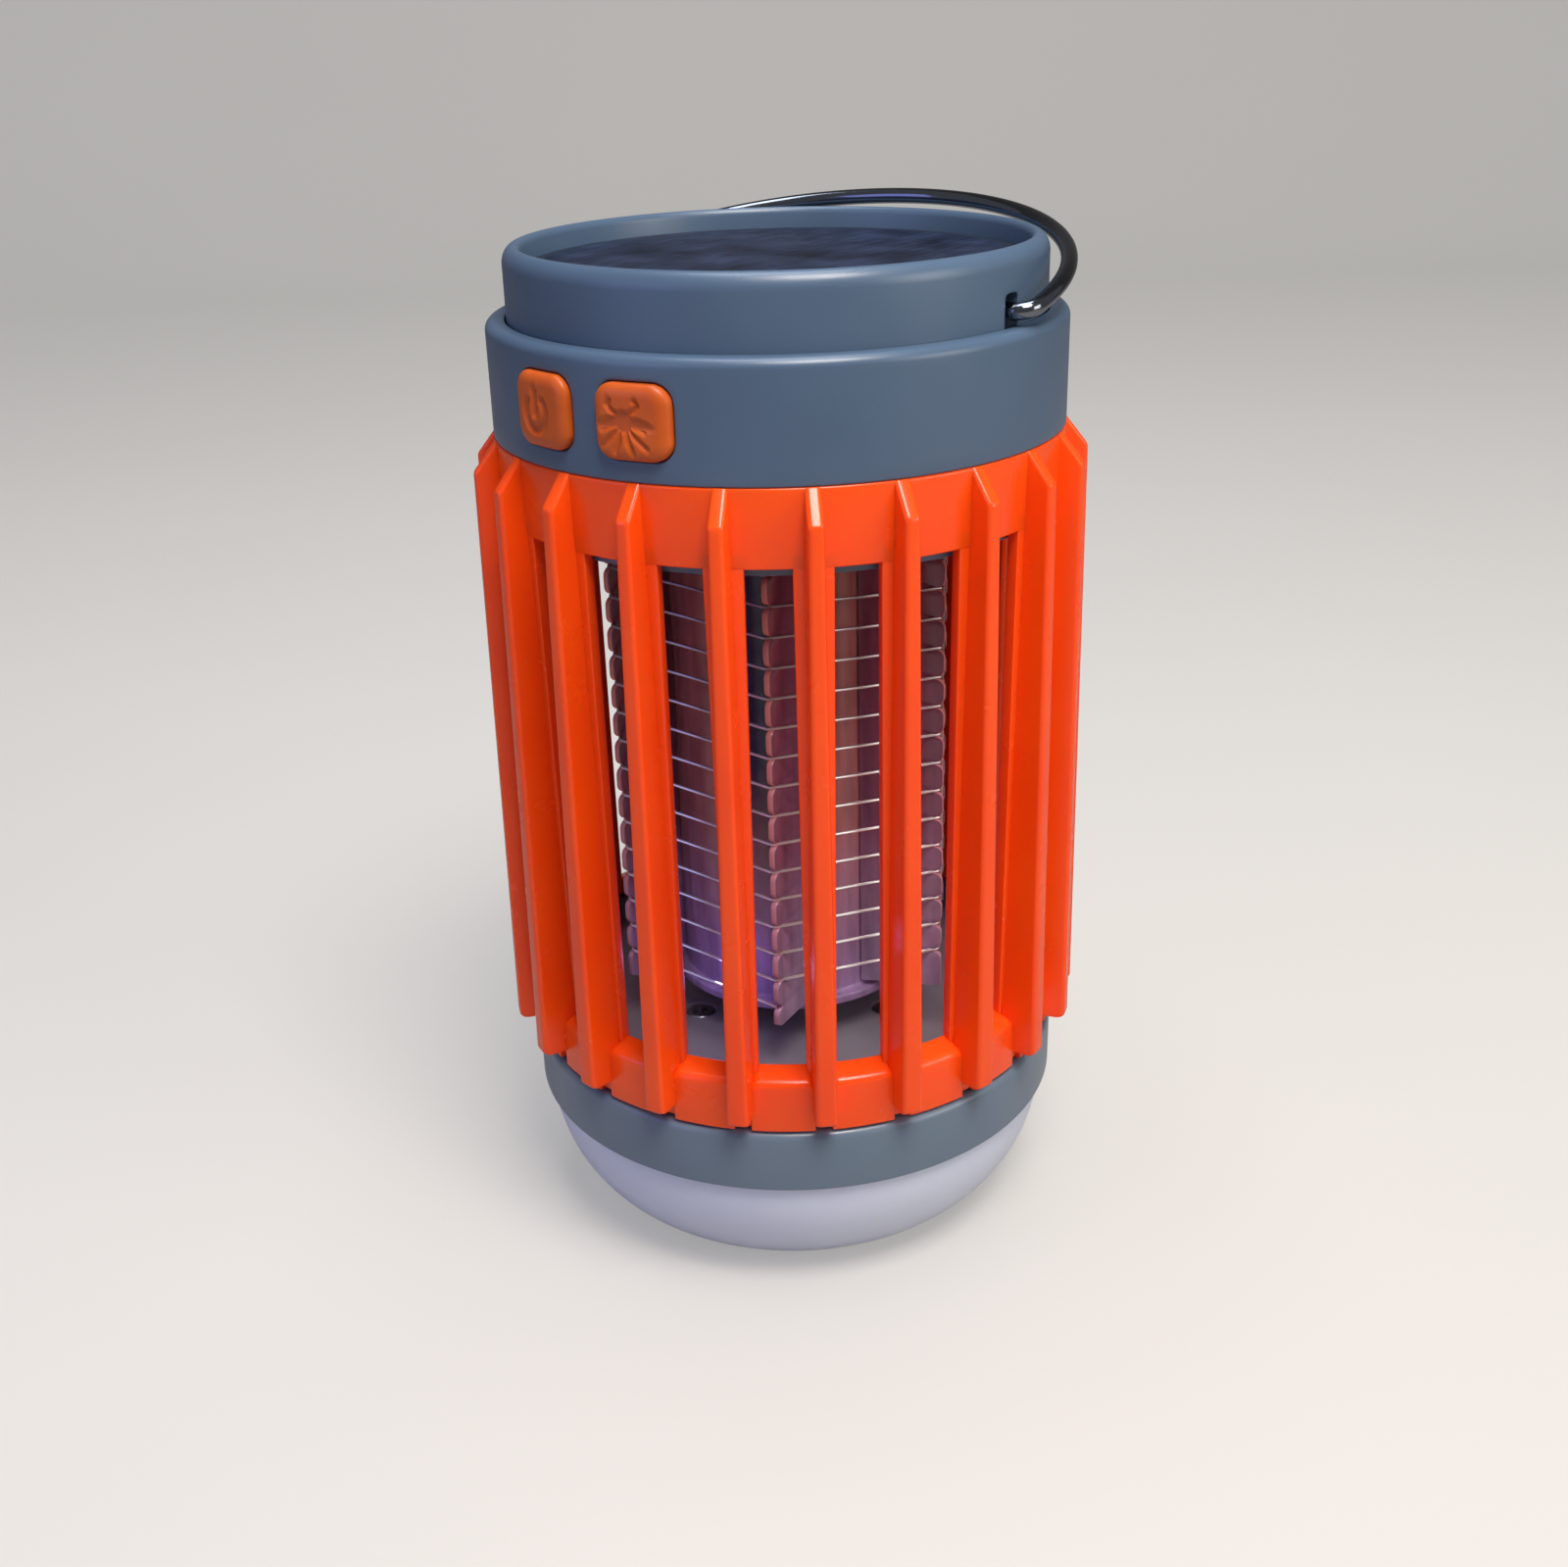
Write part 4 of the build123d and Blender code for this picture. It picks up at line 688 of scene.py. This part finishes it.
def insectSign(p):
    # plump body, curled feelers, two broad wings, two short and four long legs, both sides alike
    q = np.stack([np.abs(p[..., 0]), p[..., 1]], -1)

    def strokes(half, *points):
        return np.minimum.reduce([distanceToLine(q, a, b) for a, b in zip(points[:-1], points[1:])]) - half

    body = np.linalg.norm(p - [0, 0.3], axis=-1) - 1.6
    wing = (np.hypot((q[..., 0] - 2.0) / 2.2, (q[..., 1] - 0.45 + 0.16 * q[..., 0]) / 0.85) - 1.0) * 0.85
    feeler = strokes(0.3, (0.9, 1.4), (1.7, 1.9), (2.3, 2.6), (2.0, 3.2))
    shortLeg = strokes(0.24, (2.0, -0.4), (3.3, -0.9))
    legA = strokes(0.32, (1.0, -0.8), (2.1, -1.9), (3.5, -3.1))
    legB = strokes(0.32, (0.5, -0.9), (0.8, -2.4), (1.4, -3.8))
    return np.minimum.reduce([body, wing, feeler, shortLeg, legA, legB])


def makeKey(shape, centre, turn, sign=None):
    # rings shrink from the outline to the middle; the outer ones roll over the edge, and the sign sinks
    # the inner ones
    (wide, tall), corner, edge = shape["half"], shape["corner"], shape["edge"]
    a = np.linspace(0, 2 * np.pi, 320, endpoint=False)
    way = np.stack([np.cos(a), np.sin(a)], -1)
    roll = np.radians(np.linspace(90, 0, 8))
    inset = edge * (1 - np.sin(roll))
    side = np.stack([way * outlineReach(way, wide - i, tall - i, max(corner - i, 0.3)) for i in inset])
    drop = shape["drop"] * (1 - np.cos(roll))
    inner = side[-1][None] * np.linspace(1, 0, 74)[1:, None, None]
    rings = np.concatenate([side[:1], side, inner])
    sunk = np.concatenate([[shape["depth"]], drop, np.zeros(len(inner))])[:, None] + 0 * rings[:, :, 0]
    if sign:
        s = np.clip(0.5 - sign(rings - keys["signAt"]) / keys["soft"], 0, 1)
        sunk = sunk + keys["sink"] * s * s * (3 - 2 * s) * (sunk < 0.3)
    x, z = rings[:, :, 0] + centre[0], rings[:, :, 1] + centre[1]
    out = np.sqrt((bandRadius + shape["proud"]) ** 2 - x ** 2) - sunk
    back = np.stack([np.full(len(a), centre[0]), -np.full(len(a), out[0].min()), np.full(len(a), centre[1])], -1)
    grid = np.concatenate([back[None], np.stack([x, -out, z], -1)])
    return surface(turnPoints(grid, turn), closedRows=False)


for name, node, side, sign in (("light_key_cap", "light_button", -1, powerSign),
                               ("zapper_key_cap", "zapper_button", 1, insectSign)):
    part = makeKey(keys, (side * head["keyOffset"], head["keyZ"]), 0, sign)
    makePiece(name, [part], node, silicone, sharp=60, stands=(node,))
makePiece("port_cover", [makeKey(portCover, (0, head["portZ"]), 180)], "usb_plug", greySilicone,
          stands=("usb_plug",))

# ---------- grid former and wires ----------

former = {"ribs": 6, "phase": 31.4, "radius": 30.5, "thick": 1.2, "lean": 24, "root": 17.0, "notch": 1.3, "gap": 0.5,
          "pitch": 4.82, "notches": 18, "first": 47.4, "tube": 19.0, "tubeWall": 1.6, "disc": 20.8,
          "discThick": 1.6, "flange": 25.0, "flangeThick": 2.4, "wire": 0.25, "turns": 8, "edge": 0.35}
# tones from low to high, painted light: violet lamp glow low down, reflected orange high up; the tube's painted dark
# band stands for the dark surroundings seen through its wall
clearTube = clearPlastic("clearStyreneTube", ("#b898cc", "#c47a80", "#b45a54"), 0.8, 0.2,
                         paintedDarkBand={"phase": former["phase"], "stops": (0.74, 0.76, 0.97, 0.985), "depth": 0.97,
                                 "colour": "#241f52"})
clearRib = clearPlastic("clearStyreneRib", ("#b8a0c8", "#8c5676", "#84384a"), 0.88, 0.14,
                        paintedTabGlow=("#c898b4", "#f08c6c"))
formerLow = boxOf("grid_former")[0]
discTop = formerLow[2] + former["discThick"]


def makeRib(k):
    # thin plate whose outer edge is a row of tabs: between notches the edge follows quarter circles
    rise = (2 * former["pitch"] * k / former["ribs"]) % former["pitch"]
    fractions = np.array([0, .2, .249, .251, .3, .4, .55, .75, 1.0, 1.3, 1.6, 2.1])
    offsets = np.concatenate([-fractions[:0:-1], fractions])
    notches = former["first"] + rise + former["pitch"] * np.arange(former["notches"])
    z = np.sort((notches[:, None] + offsets).ravel())
    z = z[(z > formerLow[2] + 3.4) & (z < cageTop - 3)]
    z = np.concatenate([[formerLow[2] + 2.6, formerLow[2] + 3.0], z, [cageTop - 2.4]])
    near = np.abs(z[:, None] - notches).min(1)
    corner = former["notch"]
    past = np.clip(corner - (near - former["gap"] / 2), 0, corner)
    outer = former["radius"] - corner + np.sqrt(corner ** 2 - past ** 2)
    outer = np.where(near < former["gap"] / 2, former["radius"] - corner, outer)
    outer[0] -= 0.6  # the lowest corner is cut back
    half, e = former["thick"] / 2, former["edge"]
    a = np.radians([0, 30, 60, 90])
    x = np.concatenate([[-half], -half + e * (1 - np.cos(a)), half - e * (1 - np.cos(a[::-1])), [half]])
    back = np.concatenate([e * (1 - np.sin(a)), e * (1 - np.sin(a[::-1]))])
    root = np.full((len(z), 1), former["root"])
    r = np.concatenate([root, outer[:, None] - back, root], 1)
    # ribs lean in pairs towards one another about their outer edge
    lean = math.radians(former["lean"] * (-1) ** k)
    inward = former["radius"] - r
    across = np.broadcast_to(x, r.shape)
    sections = np.stack([across * math.cos(lean) + inward * math.sin(lean),
                         -former["radius"] + inward * math.cos(lean) - across * math.sin(lean),
                         np.broadcast_to(z[:, None], r.shape)], -1)
    points, faces = lofted(sections)
    return turnPoints(points, former["phase"] - 60 * k), faces


def markTabs(mesh):
    # 1 on the flat outer edge of every tab, told by the distance from the rib's middle plane
    where = np.empty(len(mesh.vertices) * 3)
    mesh.vertices.foreach_get("co", where)
    where = where.reshape(-1, 3) * 1000
    onTab = np.zeros(len(where))
    for k in range(former["ribs"]):
        lean = math.radians(former["lean"] * (-1) ** k)
        x, y, z = turnPoints(where, 60 * k - former["phase"]).T
        across = x * math.cos(lean) - (y + former["radius"]) * math.sin(lean)
        onTab[(y < -24) & (np.abs(x) < 4) & (np.abs(across) < former["thick"] / 2 - 0.1)
              & (np.hypot(x, y) > former["radius"] - former["notch"] + 0.15)] = 1
    mesh.attributes.new("tabEdge", "FLOAT", "POINT").data.foreach_set("value", onTab)
    return int(onTab.sum())


ribs = [makeRib(k) for k in range(former["ribs"])]
ribPiece = makePiece("clear_ribs", ribs, "lantern", clearRib, stands=("grid_ribs",))
print("points on tab edges:", markTabs(ribPiece.data))
tubeIn = former["tube"] - former["tubeWall"]
flangeLow = bandBottom - former["flangeThick"]
core = rounded([(0, formerLow[2]), (former["disc"], formerLow[2]), (former["disc"], discTop),
                (former["tube"], discTop), (former["tube"], flangeLow), (former["flange"], flangeLow),
                (former["flange"], bandBottom - 0.02), (tubeIn, bandBottom - 0.02), (tubeIn, discTop), (0, discTop)],
               [0, 0.4, 0.4, 0.5, 0.6, 0.3, 0.2, 0.1, 0.3, 0])
makePiece("clear_tube", [turned(core, 160)], "lantern", clearTube, stands=("grid_former",))


def wirePath(first, start):
    # corners on a helix at the ribs' notches, each eased by two points beside it
    k = np.arange(first, first + former["ribs"] * former["turns"] + 1)
    angle = np.radians(former["phase"] - 60 * k)
    radius = former["radius"] - former["notch"] + former["wire"] + 0.45
    corner = np.stack([radius * np.sin(angle), -radius * np.cos(angle),
                       former["first"] + start + 2 * former["pitch"] * k / former["ribs"]], -1)
    way = np.diff(corner, axis=0)
    way /= np.linalg.norm(way, axis=1, keepdims=True)
    before, after = corner[1:-1] - 0.5 * way[:-1], corner[1:-1] + 0.5 * way[1:]
    eased = corner[1:-1] * 0.5 + (before + after) * 0.25
    middle = np.stack([before, eased, after], 1).reshape(-1, 3)
    return np.concatenate([corner[:1], middle, corner[-1:]])


# painted shade and light: the wires are painted darker higher up, standing for the cage's shade, and paler low down,
# standing for the lamp's light
paintedShadeWire, place = startMaterial("stainlessWirePaintedShade")
rise = addNode(paintedShadeWire, "SeparateXYZ", links={"Vector": place})
up = addNode(paintedShadeWire, "MapRange", {"From Min": 0.075, "From Max": 0.12}, {"Value": rise.outputs["Z"]})
tone = addNode(paintedShadeWire, "Mix", {6: srgb("#ffffff"), 7: srgb("#8a6a70")}, {0: up.outputs["Result"]},
               data_type="RGBA")
endMaterial(paintedShadeWire, addNode(paintedShadeWire, "BsdfPrincipled", {"Metallic": 0.92, "Roughness": 0.3},
                               {"Base Color": tone.outputs[2]}))
for name, node, first, start in (("live_wire", "grid_wire_live", 0, 0.0),
                                 ("return_wire", "grid_wire_return", -3, former["pitch"])):
    makePiece(name, [tube(wirePath(first, start), former["wire"], 8)], "lantern", paintedShadeWire,
              stands=(node,))

# ---------- the plain CAD nodes ----------

plainFinishes = {
    "blackPlastic": ("#101010", "#181818", ("switch_bodies", "control_chip", "battery_holder", "light_stem",
                                            "zapper_stem", "panel_seal", "panel_board")),
    "greenSolderMask": ("#174a2c", "#1d5634", ("control_board", "charge_board")),
    "whiteSolderMask": ("#dfe0dd", "#eceded", ("lamp_board", "uv_board", "reflector")),
    "slateTube": ("#3a4350", "#424c59", ("cable_tube", "deck_fittings")),
    "yellowTape": ("#c9a72c", "#d6b53a", ("hv_transformer",)),
    "dippedCapacitor": ("#6e2014", "#7c281a", ("hv_capacitor",)),
    "cellWrap": ("#28508c", "#2f5a99", ("battery_cell",)),
    "ledResin": ("#cfc4f4", "#ddd4fb", ("uv_leds", "lamp_leds")),
    "leadInsulation": ("#8c1a14", "#9a221a", ("lamp_leads",)),
}
nodeFinish = {}
for name, (dark, light, nodes) in plainFinishes.items():
    material = mouldedPlastic(name, dark, light, driftMm=8, grainMm=0.3, rough=(0.38, 0.5), ior=1.5)
    nodeFinish.update({n: material for n in nodes})
nodeFinish.update({n: screwSteel for n in ("cage_screws", "collar_screws", "former_screws", "tray_screws",
                                           "usb_socket")})
nodeFinish["grid_terminals"] = brass
for name, node in cadNodes.items():
    if name in nodeFinish:
        node.data.materials.clear()
        node.data.materials.append(nodeFinish[name])
print("plain nodes finished:", len(nodeFinish))

# ---------- stage, light and camera ----------

view = {"azimuth": 37.0, "distance": 0.2839, "height": 0.1967, "pitch": 23.515, "yaw": -0.372, "roll": -1.576,
        "lens": 41.58, "shift": (0.00375, 0.0021)}
facing = Matrix.Rotation(math.radians(view["azimuth"]), 4, "Z")
stage = {"halfWidth": 2.5, "back": 1.1, "curve": 0.5, "height": 3.0, "glow": 0.38}
m, place = startMaterial("paleStudioPaper")
tone = addNode(m, "TexNoise", {"Scale": 6.0, "Detail": 2.0}, {"Vector": place})
paper = addNode(m, "ValToRGB", links={"Fac": tone.outputs["Fac"]})
paper.color_ramp.elements[0].color, paper.color_ramp.elements[1].color = srgb("#a5a29e"), srgb("#aaa7a3")
paperShader = addNode(m, "BsdfPrincipled", {"Roughness": 0.8, "Specular IOR Level": 0.2},
                      {"Base Color": paper.outputs["Color"]})
# seen straight or through clear plastic the paper glows a little, so the ground stays pale
path = addNode(m, "LightPath")
seen = addNode(m, "Math", {}, {0: path.outputs["Is Camera Ray"], 1: path.outputs["Is Transmission Ray"]},
               operation="ADD")
strength = addNode(m, "Math", {1: stage["glow"]}, {0: seen.outputs[0]}, operation="MULTIPLY")
glow = addNode(m, "Emission", {"Color": srgb("#eceae6")}, {"Strength": strength.outputs[0]})
endMaterial(m, addNode(m, "AddShader", links={0: paperShader.outputs[0], 1: glow.outputs[0]}))
# side view of the ground, a quarter circle and the wall
a = np.linspace(0, np.pi / 2, 24)
curve = np.stack([stage["back"] + stage["curve"] * np.sin(a), stage["curve"] * (1 - np.cos(a))], -1)
sweep = np.concatenate([[[-stage["halfWidth"], 0]], curve, [[stage["back"] + stage["curve"], stage["height"]]]])
x = np.broadcast_to(np.array([-1, 1]) * stage["halfWidth"], (len(sweep), 2))
grid = np.stack([x, np.repeat(sweep[:, :1], 2, 1), np.repeat(sweep[:, 1:], 2, 1)], -1)
backdropPoints, backdropFaces = surface(turnPoints(grid, view["azimuth"]), False, False)
mesh = bpy.data.meshes.new("backdrop")
mesh.from_pydata(backdropPoints.tolist(), [], backdropFaces.tolist())
mesh.shade_smooth()
mesh.materials.append(m)
placed("backdrop", mesh)


def aimed():
    # camera place and turn, from its three directions: right, up and back
    pitch, yaw, roll = (math.radians(view[key]) for key in ("pitch", "yaw", "roll"))
    forward = Vector((math.sin(yaw) * math.cos(pitch), math.cos(yaw) * math.cos(pitch), -math.sin(pitch)))
    right = Vector((math.cos(yaw), -math.sin(yaw), 0))
    up = right.cross(forward)
    right, up = math.cos(roll) * right + math.sin(roll) * up, -math.sin(roll) * right + math.cos(roll) * up
    axes = Matrix((right, up, -forward)).transposed().to_4x4()
    return facing @ Matrix.Translation((0, -view["distance"], view["height"])) @ axes


camera = bpy.data.cameras.new("camera")
camera.lens, camera.sensor_width = view["lens"], 36.0
camera.shift_x, camera.shift_y = view["shift"]
camera.clip_start, camera.clip_end = 0.02, 20.0
cameraObject = placed("camera", camera)
cameraObject.matrix_world = aimed()
bpy.context.scene.camera = cameraObject

# places in metres before they turn with the camera; the point light is the lamp board's violet glimmer
# inside the clear tube's foot
lights = {
    "highSoftbox": {"at": (0.154, -0.38, 0.82), "size": 0.34, "watts": 7.2, "colour": "#fff7ee"},
    "leftFill": {"at": (-0.8, -0.5, 0.35), "size": 0.6, "watts": 1.6, "colour": "#a0a6ff"},
    "skyCard": {"at": (0.0, 0.05, 0.95), "size": 0.45, "watts": 3.9, "colour": "#eef4ff"},
    "rightWindow": {"at": (0.85, -0.45, 0.4), "size": 0.5, "watts": 3.0, "colour": "#fffaf4"},
    "lampGlimmer": {"at": (-0.0125, -0.0225, 0.0485), "size": 0.002, "watts": 0.0012, "colour": "#b0a2ff",
                    "kind": "POINT"},
}
for name, light in lights.items():
    kind = light.get("kind", "AREA")
    lamp = bpy.data.lights.new(name, kind)
    setattr(lamp, "size" if kind == "AREA" else "shadow_soft_size", light["size"])
    lamp.energy, lamp.color = light["watts"], srgb(light["colour"])[:3]
    lampObject = placed(name, lamp)
    at = facing @ Vector(light["at"])
    lampObject.location = at
    lampObject.rotation_euler = (Vector((0, 0, 0.08)) - at).to_track_quat("-Z", "Y").to_euler()
world = bpy.data.worlds.new("studio")
world.use_nodes = True
world.node_tree.nodes["Background"].inputs["Color"].default_value = srgb("#e8ebf0")
# even dim fill for the object, a pale ground where the camera sees past the paper
worldPath = addNode(world, "LightPath")
worldStrength = addNode(world, "Math", {1: 0.5, 2: 0.2}, {0: worldPath.outputs["Is Camera Ray"]},
                        operation="MULTIPLY_ADD")
world.node_tree.links.new(worldStrength.outputs[0], world.node_tree.nodes["Background"].inputs["Strength"])
bpy.context.scene.world = world
bpy.context.scene.view_settings.view_transform = "Standard"

print("scene ready")
